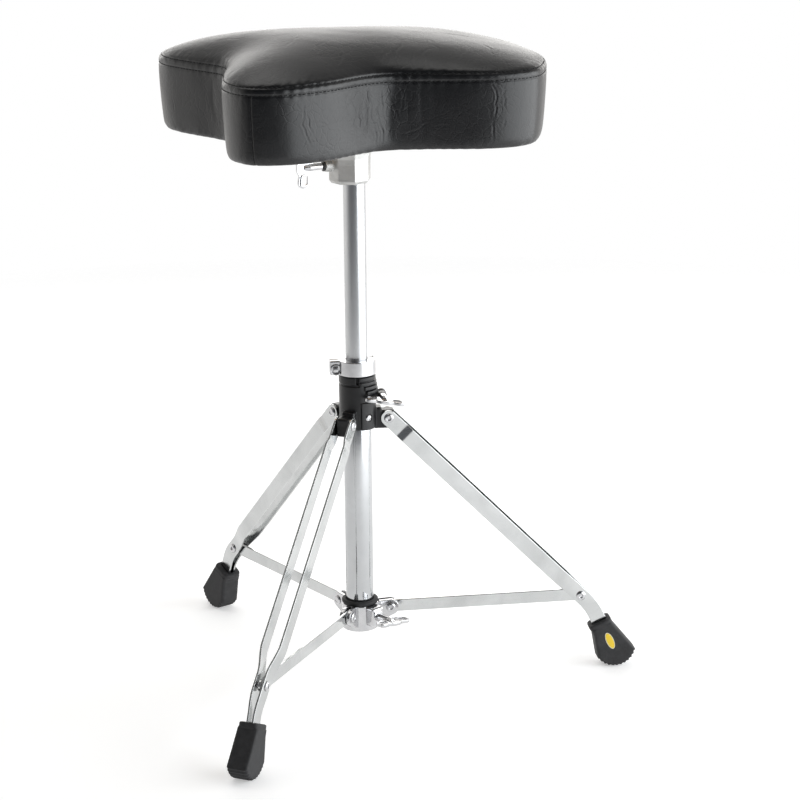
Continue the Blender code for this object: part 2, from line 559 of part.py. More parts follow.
def foot():
    """A rubber boot over the ends of the bars, flat where it meets the floor."""
    floor = -LEG_PIVOT.z
    points = [to_leg(*point) for point in foot_outline()]
    lowest = min(points, key=lambda point: point.z).x
    for point in points:
        under = abs(point.x - lowest) < SOLE_PAD and point.z < floor + PAD_HEIGHT
        if under or point.z < floor:
            point.z = floor
    middle = to_leg(0, 0.036)
    rings = []
    for share, inset in ((-1, 0.88), (-0.72, 1), (0.72, 1), (1, 0.88)):
        y = share * FOOT_THICKNESS / 2
        rings.append([(middle.x + (p.x - middle.x) * inset, y,
                       max(middle.z + (p.z - middle.z) * inset, floor)) for p in points])
    pocket_end, half_depth, half_width = BAR_END - BEND_START - BEND_LENGTH + 0.0005, 0.0042, 0.0084
    corners = [to_leg(x, d) for x, d in ((-half_width, -0.01), (half_width, -0.01),
                                         (half_width, pocket_end), (-half_width, pocket_end))]
    pocket = plate([(p.x, p.z) for p in corners], -half_depth, half_depth)
    return loft(rings), pocket


def badge(grow, low, high):
    """A blank oval plate on the foot's right flank."""
    points = [to_leg(BADGE_CENTRE[0] + (BADGE_HALF[0] + grow) * across,
                     BADGE_CENTRE[1] + (BADGE_HALF[1] + grow) * down)
              for across, down in arc((0, 0), 1, 0, math.tau * 23 / 24, 23)]
    return plate([(p.x, p.z) for p in points], low, high)


def build_leg(number, stand, chrome, rubber, yellow):
    angle = LEG_ANGLES[number - 1]
    pivot = axis_at(f"leg_{number}_axis", Matrix.Rotation(angle, 3, "Z") @ LEG_PIVOT, stand, angle)
    piece(f"leg_{number}_left_bar", leg_bar(1), chrome, pivot)
    piece(f"leg_{number}_right_bar", leg_bar(-1), chrome, pivot)
    boot, pocket = foot()
    flank = -FOOT_THICKNESS / 2
    recess = badge(GAP, flank - 0.003, flank + BADGE_THICKNESS + GAP)
    piece(f"leg_{number}_foot", cut(boot, pocket, recess), rubber, pivot)
    piece(f"leg_{number}_foot_badge", badge(0, flank, flank + BADGE_THICKNESS), yellow, pivot)
    top = spread_at(0) + BAR_THICKNESS / 2 + GAP
    bolt = domed_bolt(0.0050, 0.0018, 0.0030, 2 * top + 0.0012)
    piece(f"leg_{number}_pivot_bolt", aimed(bolt, (0, -top, 0), (0, -1, 0)), chrome, pivot)
    nut = round_nut(0.0050, 0.0018, PIVOT_HOLE)
    piece(f"leg_{number}_pivot_nut", aimed(nut, (0, top, 0), (0, 1, 0)), chrome, pivot)
    joint, _ = leg_line(LEG_TO_BRACE)
    low = spread_at(LEG_TO_BRACE) + BAR_THICKNESS / 2 + GAP
    stub = domed_bolt(0.0050, 0.0018, 0.0030, 0.0034)
    for name, side in (("left", 1), ("right", -1)):
        place = joint + Vector((0, side * low, 0))
        piece(f"leg_{number}_brace_bolt_{name}", aimed(stub, place, (0, side, 0)), chrome, pivot)


def brace_shape():
    """A flat bar from the hub's pivot to the leg's, with its origin on the hub's pivot."""
    joint, _ = leg_line(LEG_TO_BRACE)
    reach = LEG_PIVOT + joint - BRACE_PIVOT
    slope = math.atan2(reach.z, reach.x)
    radius = BRACE_WIDTH / 2
    outline = (arc((reach.length, 0), radius, -math.pi / 2, math.pi / 2, 8)
               + arc((0, 0), radius, math.pi / 2, 3 * math.pi / 2, 8))
    bar = plate(outline, -BRACE_THICKNESS / 2, BRACE_THICKNESS / 2)
    holes = [across_hole(Vector((x, 0, 0))) for x in (0, reach.length)]
    return moved(cut(bar, *holes), Matrix.Rotation(-slope, 4, "Y"))


def lower_hub():
    collar = turned(((SLIDING_BORE, COLLAR_BOTTOM), (COLLAR_RADIUS - 0.001, COLLAR_BOTTOM),
                     (COLLAR_RADIUS, COLLAR_BOTTOM + 0.001), (COLLAR_RADIUS, COLLAR_TOP),
                     (SLIDING_BORE, COLLAR_TOP)))
    tip = (BRACE_PIVOT.x, BRACE_PIVOT.z)
    inside, outside = COLLAR_RADIUS - 0.0032, COLLAR_RADIUS + 0.0006
    ledge = COLLAR_TOP - 0.0005
    clevis = [(inside, BOSS_LOW - 0.002), (inside, ledge), (outside, ledge), (outside, ledge + 0.0018)]
    clevis += reversed(arc(tip, CLEVIS_RADIUS, math.radians(-60), math.radians(100), 8))
    ears = [turned_to(plate(clevis, *sides), a) for a in LEG_ANGLES
            for sides in ((CLEVIS_NEAR, CLEVIS_FAR), (-CLEVIS_FAR, -CLEVIS_NEAR))]
    boss = box((inside, -BOSS_HALF, BOSS_LOW), (BOSS_REACH, BOSS_HALF, ledge), 0.0015)
    thread = rod(PIVOT_HOLE, (0.005, 0, LOWER_BOLT_HEIGHT), (0.04, 0, LOWER_BOLT_HEIGHT))
    solid = joined(collar, turned_to(boss, LOWER_BOLT_ANGLE), *ears)
    return cut(solid, turned_to(thread, LOWER_BOLT_ANGLE),
               *(turned_to(across_hole(BRACE_PIVOT), a) for a in LEG_ANGLES))


def build_braces(stand, chrome, black):
    slider = axis_at("tripod_fold_axis", (0, 0, 0), stand)
    piece("lower_hub", lower_hub(), chrome, slider)
    low = COLLAR_TOP + GAP
    ring = turned(((SLIDING_BORE, low), (COLLAR_RADIUS - 0.0003, low), (COLLAR_RADIUS, RING_TOP - 0.001),
                   (COLLAR_RADIUS - 0.001, RING_TOP), (SLIDING_BORE, RING_TOP)))
    piece("lower_hub_ring", ring, black, slider)
    place = Matrix.Rotation(LOWER_BOLT_ANGLE, 3, "Z") @ Vector((0.0283, 0, LOWER_BOLT_HEIGHT))
    bolt_axis = axis_at("lower_wing_bolt_axis", place, slider, LOWER_BOLT_ANGLE)
    bolt = aimed(wing_bolt(0.0030, 0.0134, 0.0042, 0.0130), (0, 0, 0), (1, 0, 0))
    piece("lower_wing_bolt", moved(bolt, Matrix.Rotation(math.radians(-6), 4, "X")), chrome, bolt_axis)
    for number, angle in enumerate(LEG_ANGLES, 1):
        pivot = axis_at(f"brace_{number}_axis", Matrix.Rotation(angle, 3, "Z") @ BRACE_PIVOT, slider, angle)
        piece(f"brace_{number}", brace_shape(), chrome, pivot)
        bolt = domed_bolt(0.0050, 0.0014, 0.0030, 0.0137)
        piece(f"brace_{number}_hub_bolt", aimed(bolt, (0, -0.0062, 0), (0, -1, 0)), chrome, pivot)
        nut = round_nut(0.0050, 0.0014, PIVOT_HOLE)
        piece(f"brace_{number}_hub_nut", aimed(nut, (0, 0.0062, 0), (0, 1, 0)), chrome, pivot)


def main():
    clear_scene()
    chrome = finish("chrome", (0.80, 0.81, 0.82), 0.10, 1.0)
    cast = finish("cast aluminium", (0.60, 0.60, 0.59), 0.38, 1.0)
    black = finish("black enamel", (0.012, 0.012, 0.013), 0.35, 0.0)
    nylon = finish("nylon", (0.03, 0.03, 0.03), 0.50, 0.0)
    rubber = finish("rubber", (0.020, 0.020, 0.021), 0.75, 0.0)
    vinyl = finish("black vinyl", (0.018, 0.019, 0.022), 0.42, 0.0)
    wood = finish("plywood", (0.45, 0.31, 0.18), 0.70, 0.0)
    yellow = finish("yellow enamel", (0.80, 0.62, 0.08), 0.40, 0.0)
    stand = axis_at("column_axis", COLUMN)
    build_column(stand, chrome, black, nylon)
    build_lock_and_post(stand, chrome)
    build_seat(stand, chrome, cast, vinyl, wood, black)
    build_braces(stand, chrome, black)
    for number in (1, 2, 3):
        build_leg(number, stand, chrome, rubber, yellow)


main()
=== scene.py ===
"""Drum throne: the finish and the fine shape of every piece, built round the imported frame.

Everything is in metres, in the frame's own coordinates. The seat faces -Y.
"""

import json
import math

import bmesh
import bpy
import numpy as np
from mathutils import Matrix, Vector, noise
from mathutils.bvhtree import BVHTree


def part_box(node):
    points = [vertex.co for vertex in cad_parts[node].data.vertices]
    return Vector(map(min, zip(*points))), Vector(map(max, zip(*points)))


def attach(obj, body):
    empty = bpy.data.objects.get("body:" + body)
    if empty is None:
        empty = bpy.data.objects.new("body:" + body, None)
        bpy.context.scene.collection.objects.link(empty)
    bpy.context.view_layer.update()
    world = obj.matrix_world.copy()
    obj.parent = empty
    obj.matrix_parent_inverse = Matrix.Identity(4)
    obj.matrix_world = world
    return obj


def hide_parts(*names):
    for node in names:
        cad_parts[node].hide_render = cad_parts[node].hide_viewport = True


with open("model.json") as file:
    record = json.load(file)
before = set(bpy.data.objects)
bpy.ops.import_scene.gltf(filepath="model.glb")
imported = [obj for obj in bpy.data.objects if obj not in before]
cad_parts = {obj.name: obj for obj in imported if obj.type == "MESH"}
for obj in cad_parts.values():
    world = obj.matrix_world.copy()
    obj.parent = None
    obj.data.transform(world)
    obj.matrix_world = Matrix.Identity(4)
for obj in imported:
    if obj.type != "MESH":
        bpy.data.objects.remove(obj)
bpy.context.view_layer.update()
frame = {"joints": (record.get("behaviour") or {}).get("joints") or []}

JOINTS = {joint["name"]: joint for joint in frame["joints"]}
UP = Vector((0, 0, 1))


def centre_of(node):
    low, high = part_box(node)
    return (low + high) / 2


COLUMN = Vector((*centre_of("lower_tube").xy, 0))


def column_angle(name):
    """The direction of a joint's place from the column."""
    place = Vector(JOINTS[name]["pos_m"]) - COLUMN
    return math.atan2(place.y, place.x)


# ---------------------------------------------------------------- shapes

def mesh_from(bm):
    bmesh.ops.remove_doubles(bm, verts=bm.verts, dist=1e-6)
    bmesh.ops.recalc_face_normals(bm, faces=bm.faces)
    mesh = bpy.data.meshes.new("shape")
    bm.to_mesh(mesh)
    bm.free()
    return mesh


def moved(mesh, matrix):
    copy = mesh.copy()
    copy.transform(matrix)
    return copy


def shifted(mesh, *offset):
    return moved(mesh, Matrix.Translation(Vector(offset)))


def spun(mesh, angle):
    return moved(mesh, Matrix.Rotation(angle, 4, "Z"))


def aimed(mesh, point, direction):
    """The shape with its Z axis along a direction, and its origin at a point."""
    turn = Vector(direction).to_track_quat("Z", "Y").to_matrix().to_4x4()
    return moved(mesh, Matrix.Translation(Vector(point)) @ turn)


def box(low, high, bevel=0.0, segments=3):
    bm = bmesh.new()
    bmesh.ops.create_cube(bm, size=1)
    low, high = Vector(low), Vector(high)
    bmesh.ops.scale(bm, vec=high - low, verts=bm.verts)
    bmesh.ops.translate(bm, vec=(low + high) / 2, verts=bm.verts)
    if bevel:
        bmesh.ops.bevel(bm, geom=bm.edges[:], offset=bevel, segments=segments, profile=0.5,
                        affect="EDGES")
    return mesh_from(bm)


def rod(radius, start, end, sides=48):
    start, end = Vector(start), Vector(end)
    turn = (end - start).to_track_quat("Z", "Y").to_matrix().to_4x4()
    bm = bmesh.new()
    bmesh.ops.create_cone(bm, cap_ends=True, segments=sides, radius1=radius, radius2=radius,
                          depth=(end - start).length,
                          matrix=Matrix.Translation((start + end) / 2) @ turn)
    return mesh_from(bm)


def softened(points, radius, closed=False, steps=3):
    """The outline with each corner cut back and rounded."""
    points = [Vector(p) for p in points]
    out = []
    for i, corner in enumerate(points):
        if not closed and i in (0, len(points) - 1):
            out.append(corner)
            continue
        before, after = points[i - 1], points[(i + 1) % len(points)]
        start = corner + (before - corner) * min(0.45, radius / (before - corner).length)
        end = corner + (after - corner) * min(0.45, radius / (after - corner).length)
        for step in range(steps + 1):
            t = step / steps
            out.append(start * (1 - t) ** 2 + corner * 2 * t * (1 - t) + end * t ** 2)
    return out


def turned(profile, sides=96):
    """An outline of (radius, height) points spun about Z. One that starts on Z also ends there."""
    bm = bmesh.new()
    verts = [bm.verts.new((radius, 0, height)) for radius, height in profile]
    ends = verts[1:] if profile[0][0] == 0 else verts[1:] + verts[:1]
    edges = [bm.edges.new(pair) for pair in zip(verts, ends)]
    bmesh.ops.spin(bm, geom=verts + edges, cent=(0, 0, 0), axis=(0, 0, 1), angle=math.tau,
                   steps=sides, use_merge=True)
    return mesh_from(bm)


def soft_turned(profile, radius, sides=96):
    return turned(softened(profile, radius, closed=profile[0][0] != 0), sides)


def loft(rings):
    """A closed skin through rings of the same number of points, with flat ends."""
    bm = bmesh.new()
    loops = [[bm.verts.new(point) for point in ring] for ring in rings]
    for low, high in zip(loops, loops[1:]):
        for i, corner in enumerate(low):
            after = (i + 1) % len(low)
            bm.faces.new((corner, low[after], high[after], high[i]))
    bm.faces.new(loops[0])
    bm.faces.new(loops[-1])
    return mesh_from(bm)


def plate(outline, low, high):
    """An outline of (x, z) points with a thickness along Y."""
    return loft([[(x, y, z) for x, z in outline] for y in (low, high)])


def arc(centre, radius, start, end, steps):
    angles = [start + (end - start) * i / steps for i in range(steps + 1)]
    return [(centre[0] + radius * math.cos(a), centre[1] + radius * math.sin(a)) for a in angles]


def arc_block(inner, outer, low, high, start, end, steps):
    """A square section swept round Z."""
    section = ((inner, low), (outer, low), (outer, high), (inner, high))
    angles = [start + (end - start) * i / steps for i in range(steps + 1)]
    return loft([[(r * math.cos(a), r * math.sin(a), z) for r, z in section] for a in angles])


def heap(*meshes):
    """Several closed shapes in one mesh, which may run into each other: a voxel skin makes them one."""
    bm = bmesh.new()
    for mesh in meshes:
        bm.from_mesh(mesh)
    mesh = bpy.data.meshes.new("shape")
    bm.to_mesh(mesh)
    bm.free()
    return mesh


def linked(name, data):
    made = bpy.data.objects.new(name, data)
    bpy.context.collection.objects.link(made)
    return made


def after_boolean(mesh, others, operation):
    objects = [linked("helper", shape) for shape in (mesh, *others)]
    base = objects[0]
    for helper in objects[1:]:
        modifier = base.modifiers.new("boolean", "BOOLEAN")
        modifier.operation = operation
        modifier.object = helper
    graph = bpy.context.evaluated_depsgraph_get()
    result = bpy.data.meshes.new_from_object(base.evaluated_get(graph))
    for helper in objects:
        bpy.data.objects.remove(helper)
    return result


def cut(mesh, *others):
    return after_boolean(mesh, others, "DIFFERENCE")


def joined(mesh, *others):
    return after_boolean(mesh, others, "UNION")


def mixed(low, high, share):
    return low + (high - low) * share


def smooth_step(share):
    share = min(max(share, 0.0), 1.0)
    return share * share * (3 - 2 * share)


# ---------------------------------------------------------------- pieces

def cast_skin(made, voxel, rounds):
    """Melts the shape's parts into one skin with soft corners, as a casting has."""
    remesh = made.modifiers.new("skin", "REMESH")
    remesh.mode = "VOXEL"
    remesh.voxel_size = voxel
    remesh.use_smooth_shade = True
    soften = made.modifiers.new("soften", "SMOOTH")
    soften.factor = 0.5
    soften.iterations = rounds


def rounded(made, width):
    bevel = made.modifiers.new("rounded edges", "BEVEL")
    bevel.width = width
    bevel.segments = 2
    bevel.limit_method = "ANGLE"
    bevel.angle_limit = math.radians(38)
    bevel.use_clamp_overlap = True


def show(node, mesh, body, finish, place=None, cast=None, edge=None):
    """A finely made piece that stands for one CAD node, and moves with its body."""
    slot, material = finish
    shape = mesh.copy()
    shape.materials.clear()
    shape.materials.append(material)
    shape.shade_smooth()
    shape.set_sharp_from_angle(angle=math.radians(35))
    made = linked("fine_" + node, shape)
    made.matrix_world = place or column_frame()
    if cast:
        cast_skin(made, *cast)
    if edge:
        rounded(made, edge)
    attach(made, body)
    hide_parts(node)


def joint_frame(name):
    """Puts X away from the column, Y along the joint's axis and Z up, with the origin on the joint."""
    across = Vector(JOINTS[name]["axis"]).normalized()
    out = across.cross(UP)
    turn = Matrix((out, across, UP)).transposed().to_4x4()
    return Matrix.Translation(Vector(JOINTS[name]["pos_m"])) @ turn


def column_frame(angle=0.0):
    return Matrix.Translation(COLUMN) @ Matrix.Rotation(angle, 4, "Z")


# ---------------------------------------------------------------- materials

class Nodes:
    """A node tree, and short ways to add shader nodes to it."""

    def __init__(self, tree):
        self.tree = tree

    def put(self, socket, value):
        """Links a socket or sets it. A colour is given without its alpha."""
        if isinstance(value, bpy.types.NodeSocket):
            self.tree.links.new(value, socket)
        else:
            socket.default_value = (*value, 1) if socket.type == "RGBA" else value

    def add(self, kind, inputs=None, **settings):
        made = self.tree.nodes.new("ShaderNode" + kind)
        for key, value in settings.items():
            setattr(made, key, value)
        for key, value in (inputs or {}).items():
            self.put(made.inputs[key], value)
        return made

    def maths(self, operation, first, second):
        return self.add("Math", {0: first, 1: second}, operation=operation).outputs[0]

    def ranged(self, value, low, high, start=0.0, end=1.0):
        made = self.add("MapRange", {"Value": value, "From Min": start, "From Max": end,
                                     "To Min": low, "To Max": high})
        return made.outputs["Result"]

    def blended(self, share, first, second):
        return self.add("Mix", {0: share, 6: first, 7: second}, data_type="RGBA").outputs[2]

    def toned(self, pattern, start, end, first, second):
        """One colour where the pattern is below the start, the other above the end."""
        return self.blended(self.ranged(pattern, 0, 1, start, end), first, second)

    def bumped(self, height, depth, normal=None):
        inputs = {"Height": height, "Distance": depth}
        if normal:
            inputs["Normal"] = normal
        return self.add("Bump", inputs).outputs["Normal"]


class Finish(Nodes):
    """A material with coordinates in metres on the piece."""

    def __init__(self, name, **fixed):
        self.material = bpy.data.materials.new(name)
        self.material.use_nodes = True
        super().__init__(self.material.node_tree)
        self.shader = self.tree.nodes["Principled BSDF"]
        self.coords = self.add("TexCoord").outputs["Object"]
        self.wire(**fixed)

    def wire(self, **sockets):
        for key, value in sockets.items():
            self.put(self.shader.inputs[key.replace("_", " ")], value)
        return self.material

    def noise(self, scale, detail=3.0, rough=0.55, distortion=0.0, stretch=None):
        """Noise, drawn out along the axes whose stretch is small."""
        coords = self.coords
        if stretch:
            coords = self.add("Mapping", {"Vector": coords, "Scale": stretch}).outputs["Vector"]
        made = self.add("TexNoise", {"Vector": coords, "Scale": scale, "Detail": detail,
                                     "Roughness": rough, "Distortion": distortion})
        return made.outputs["Fac"]

    def cells(self, scale, coords=None, feature="F1"):
        inputs = {"Vector": coords or self.coords, "Scale": scale}
        return self.add("TexVoronoi", inputs, feature=feature).outputs["Distance"]


def chrome(name, light, dark, smooth, dull, along):
    """Plated steel: polishing lines drawn out along one axis, smears, and a slightly uneven surface."""
    made = Finish(name, Metallic=1.0)
    smears = made.noise(22, 4, 0.6, 0.6)
    lines = made.noise(1.0, 2, 0.5, stretch=[14.0 if axis == along else 900.0 for axis in "XYZ"])
    waves = made.bumped(made.noise(55, 2, 0.45), 0.00004)
    fine = made.bumped(lines, 0.0000012, waves)
    return made.wire(Base_Color=made.toned(smears, 0.35, 0.7, light, dark),
                     Roughness=made.ranged(made.maths("MULTIPLY", smears, lines), smooth, dull, 0.12, 0.42),
                     Normal=made.bumped(made.noise(2600, 2, 0.5), 0.0000006, fine))


def cast_metal(name, light, dark, smooth, dull, grain):
    """Cast and tumbled metal: fine pits, soft blotches and duller hollows."""
    made = Finish(name, Metallic=1.0)
    blotch = made.noise(60, 4, 0.6)
    pits = made.bumped(made.noise(1500, 3, 0.6), grain)
    return made.wire(Base_Color=made.toned(blotch, 0.3, 0.7, light, dark),
                     Roughness=made.ranged(blotch, smooth, dull),
                     Normal=made.bumped(made.noise(220, 2, 0.5), grain * 3, pits))


def enamel():
    """Black paint on a casting: orange peel, dust-dull patches and a clear gloss."""
    made = Finish("black enamel", Coat_Weight=0.12, Coat_Roughness=0.16, IOR=1.40)
    patch = made.noise(70, 4, 0.6)
    peel = made.bumped(made.noise(620, 2, 0.5), 0.00001)
    return made.wire(Base_Color=made.toned(patch, 0.3, 0.75, (0.0045, 0.0045, 0.0050),
                                           (0.011, 0.011, 0.0125)),
                     Roughness=made.ranged(patch, 0.26, 0.46), Normal=made.bumped(patch, 0.00008, peel))


def plastic(name, light, dark, low, high):
    made = Finish(name)
    patch = made.noise(90, 3, 0.5)
    return made.wire(Base_Color=made.toned(patch, 0.3, 0.7, light, dark),
                     Roughness=made.ranged(patch, low, high),
                     Normal=made.bumped(made.noise(2200, 2, 0.6), 0.000012))


def rubber():
    """Moulded rubber: a pebbled skin, greyer where it is rubbed, with flow marks."""
    made = Finish("rubber", Specular_IOR_Level=0.42)
    patch = made.noise(130, 5, 0.65)
    colour = made.toned(patch, 0.35, 0.72, (0.013, 0.013, 0.014), (0.030, 0.030, 0.032))
    dust = made.ranged(made.noise(420, 4, 0.7), 0, 0.5, 0.6, 0.8)
    return made.wire(Base_Color=made.blended(dust, colour, (0.055, 0.055, 0.056)),
                     Roughness=made.ranged(patch, 0.52, 0.80),
                     Normal=made.bumped(patch, 0.0003, made.bumped(made.cells(900.0), 0.00006)))


def vinyl():
    """Leathercloth: pebbled grain, a network of fine veins with painted shade along them, and duller and
    shinier patches.
    """
    made = Finish("black vinyl", Sheen_Weight=0.004, Sheen_Roughness=0.45,
                  Sheen_Tint=(0.80, 0.78, 0.75), IOR=1.49)
    wander = made.add("TexNoise", {"Vector": made.coords, "Scale": 60.0, "Detail": 4.0}).outputs["Color"]
    wander = made.add("VectorMath", {0: wander, 3: 0.014}, operation="SCALE").outputs[0]
    bent = made.add("VectorMath", {0: made.coords, 1: wander}, operation="ADD").outputs[0]
    veins = made.ranged(made.cells(105.0, bent, "DISTANCE_TO_EDGE"), 0, 1, 0.0, 0.10)
    worn = made.ranged(made.noise(22, 3, 0.6), 0.25, 1, 0.40, 0.62)
    drift = made.noise(14, 4, 0.55, 0.4)
    fibre = made.noise(520, 3, 0.6)
    colour = made.toned(drift, 0.35, 0.65, (0.0014, 0.0016, 0.0024), (0.0030, 0.0031, 0.0040))
    # Darker along the veins: painted shade in their grooves.
    colour = made.blended(made.ranged(veins, 0.45, 0.0), colour, (0.0010, 0.0010, 0.0014))
    rough = made.maths("ADD", made.ranged(drift, 0.32, 0.40), made.ranged(fibre, -0.04, 0.05))
    pebbled = made.bumped(made.cells(1100.0), 0.000020)
    veined = made.bumped(made.maths("MULTIPLY", veins, worn), 0.00010, pebbled)
    return made.wire(Base_Color=colour, Roughness=rough, Normal=made.bumped(fibre, 0.00005, veined))


def thread():
    """Waxed black thread, twisted. The same finish is laid along the side seams as painted shade."""
    made = Finish("black thread and seam shade", Specular_IOR_Level=0.3)
    twist = made.noise(3200, 2, 0.5)
    return made.wire(Base_Color=made.blended(twist, (0.0030, 0.0030, 0.0034), (0.010, 0.010, 0.011)),
                     Roughness=made.ranged(twist, 0.55, 0.8), Normal=made.bumped(twist, 0.00005))


def plywood():
    made = Finish("plywood", Specular_IOR_Level=0.3)
    grain = made.noise(1.0, 4, 0.6, 0.8, (14.0, 260.0, 900.0))
    flecks = made.ranged(made.noise(1.0, 2, 0.5, stretch=(60.0, 1400.0, 60.0)), 0, 0.6, 0.6, 0.8)
    plies = made.add("TexWave", {"Vector": made.coords, "Scale": 130.0, "Distortion": 0.4},
                     bands_direction="Z").outputs["Fac"]
    colour = made.blended(grain, (0.36, 0.22, 0.11), (0.60, 0.43, 0.26))
    colour = made.blended(flecks, colour, (0.22, 0.13, 0.07))
    colour = made.blended(made.ranged(plies, 0, 0.25, 0.6, 0.9), colour, (0.25, 0.15, 0.08))
    return made.wire(Base_Color=colour, Roughness=made.ranged(grain, 0.55, 0.8),
                     Normal=made.bumped(grain, 0.00012))


# Each finish is the slot that the record names and the material shown in it.
POLISHED = "chrome", chrome("polished chrome", (0.56, 0.57, 0.58), (0.48, 0.49, 0.50), 0.05, 0.13, "Z")
SATIN_POST = "chrome", chrome("brushed chrome", (0.55, 0.56, 0.57), (0.49, 0.50, 0.51), 0.26, 0.38, "Z")
BAR_CHROME = "chrome", chrome("bar chrome", (0.62, 0.63, 0.63), (0.52, 0.53, 0.53), 0.08, 0.17, "X")
CAST_CHROME = "chrome", cast_metal("cast chrome", (0.64, 0.64, 0.65), (0.52, 0.52, 0.53), 0.10, 0.20,
                                   0.000006)
ALUMINIUM = "cast_aluminium", cast_metal("cast aluminium", (0.58, 0.58, 0.57), (0.44, 0.44, 0.43),
                                         0.42, 0.58, 0.00002)
ENAMEL = "black_enamel", enamel()
NYLON = "nylon", plastic("black nylon", (0.012, 0.012, 0.013), (0.030, 0.030, 0.031), 0.38, 0.55)
RUBBER = "rubber", rubber()
VINYL = "vinyl", vinyl()
# Thread for the stitch rows, and also the finish of the painted seam shade.
THREAD_AND_SEAM_SHADE = "vinyl", thread()
PLYWOOD = "plywood", plywood()
YELLOW = "badge_enamel", plastic("yellow enamel", (0.80, 0.58, 0.030), (0.70, 0.47, 0.020), 0.30, 0.45)
PALE_RIM = "badge_enamel", plastic("pale enamel", (0.78, 0.74, 0.58), (0.66, 0.62, 0.45), 0.35, 0.5)
HUB_RING, WASHER = ("black_enamel", RUBBER[1]), ("black_enamel", NYLON[1])


# ---------------------------------------------------------------- camera and studio

CAMERA_PLACE = Vector((2.2534, -0.8924, 0.97809))
CAMERA_HEADING, CAMERA_PITCH, CAMERA_ROLL = math.radians(157.81), -0.27761, -0.0094
LENS, SENSOR = 109.47, 36.0


def add_camera():
    data = bpy.data.cameras.new("camera")
    data.lens, data.sensor_width = LENS, SENSOR
    data.clip_start, data.clip_end = 0.05, 60
    made = linked("camera", data)
    level = Vector((math.cos(CAMERA_HEADING), math.sin(CAMERA_HEADING), 0))
    side = level.cross(UP)
    ahead = level * math.cos(CAMERA_PITCH) + UP * math.sin(CAMERA_PITCH)
    above = side.cross(ahead)
    right = side * math.cos(CAMERA_ROLL) + above * math.sin(CAMERA_ROLL)
    top = above * math.cos(CAMERA_ROLL) - side * math.sin(CAMERA_ROLL)
    turn = Matrix((right, top, -ahead)).transposed().to_4x4()
    made.matrix_world = Matrix.Translation(CAMERA_PLACE) @ turn
    bpy.context.scene.camera = made


def add_softbox(name, azimuth, elevation, distance, size, radiance, tint):
    """A square area light that faces the column's middle."""
    data = bpy.data.lights.new(name, "AREA")
    data.shape = "RECTANGLE"
    data.size, data.size_y = size
    data.energy = radiance * size[0] * size[1] * math.pi
    data.color = tint
    made = linked(name, data)
    a, e = math.radians(azimuth), math.radians(elevation)
    back = Vector((math.cos(a) * math.cos(e), math.sin(a) * math.cos(e), math.sin(e)))
    middle = COLUMN + UP * 0.35
    turn = (-back).to_track_quat("-Z", "Y").to_matrix().to_4x4()
    made.matrix_world = Matrix.Translation(middle + back * distance) @ turn
    made.visible_camera = False


def add_world():
    """Bright low down behind the throne, darker overhead and in front, and plain white where seen."""
    world = bpy.data.worlds.new("studio")
    bpy.context.scene.world = world
    world.use_nodes = True
    nodes = Nodes(world.node_tree)
    nodes.tree.nodes.clear()
    direction = nodes.add("TexCoord").outputs["Generated"]
    front = Vector((0.93, -0.368, 0.0))
    facing = nodes.add("VectorMath", {0: direction, 1: front}, operation="DOT_PRODUCT").outputs["Value"]
    share = nodes.add("MapRange", {"Value": facing, "From Min": -0.30, "From Max": 0.80},
                      interpolation_type="SMOOTHSTEP").outputs["Result"]
    tint = nodes.blended(share, (1.0, 0.985, 0.965), (0.13, 0.135, 0.145))
    above = nodes.add("SeparateXYZ", {"Vector": direction}).outputs["Z"]
    strength = nodes.ranged(above, 1.08, 0.36, 0.12, 0.62)
    studio = nodes.add("Background", {"Color": tint, "Strength": strength}).outputs[0]
    plain = nodes.add("Background", {"Color": (1, 1, 1), "Strength": 1.0}).outputs[0]
    seen = nodes.add("LightPath").outputs["Is Camera Ray"]
    both = nodes.add("MixShader", {0: seen, 1: studio, 2: plain}).outputs[0]
    nodes.add("OutputWorld", {"Surface": both})


def add_floor():
    """A pale round floor that fades out before its edge."""
    bm = bmesh.new()
    bmesh.ops.create_circle(bm, cap_ends=True, segments=128, radius=FLOOR_RADIUS)
    made = linked("floor", mesh_from(bm))
    paint = Finish("pale floor", Roughness=0.7, Specular_IOR_Level=0.2, Emission_Color=(1, 1, 1),
                   Emission_Strength=0.36)
    length = paint.add("VectorMath", {0: paint.coords}, operation="LENGTH").outputs["Value"]
    fade = paint.ranged(length, 0, 1, FLOOR_RADIUS * 0.55, FLOOR_RADIUS * 0.97)
    paint.wire(Base_Color=paint.blended(paint.noise(6), (0.90, 0.90, 0.90), (0.93, 0.93, 0.93)))
    clear = paint.add("BsdfTransparent").outputs[0]
    both = paint.add("MixShader", {0: fade, 1: paint.shader.outputs[0], 2: clear}).outputs[0]
    paint.put(paint.tree.nodes["Material Output"].inputs["Surface"], both)
    made.data.materials.append(paint.material)
    made.location = (*COLUMN.xy, -0.0005)


FLOOR_RADIUS = 2.1
bpy.context.scene.view_settings.view_transform = "Standard"
add_camera()
add_world()
add_floor()
add_softbox("side softbox", 50, 5, 1.5, (2.5, 1.3), 3.6, (0.95, 0.98, 1.0))
add_softbox("back softbox", 160, 14, 1.9, (2.6, 0.7), 2.2, (1.0, 0.985, 0.96))
add_softbox("top softbox", 200, 72, 2.0, (1.6, 1.6), 1.2, (1.0, 0.99, 0.97))


# ---------------------------------------------------------------- tubes

TUBE_LOW, TUBE_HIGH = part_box("lower_tube")
TUBE_RADIUS = (TUBE_HIGH.x - TUBE_LOW.x) / 2
POST_LOW, POST_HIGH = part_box("post_tube")
POST_RADIUS = (POST_HIGH.x - POST_LOW.x) / 2
WALL = 0.0016
GAP = 0.0003  # between faces that slide on each other


def tube(radius, low, high):
    inner = radius - WALL
    return soft_turned(((radius, high), (radius, low), (inner, low), (inner, high)), 0.0004, 128)


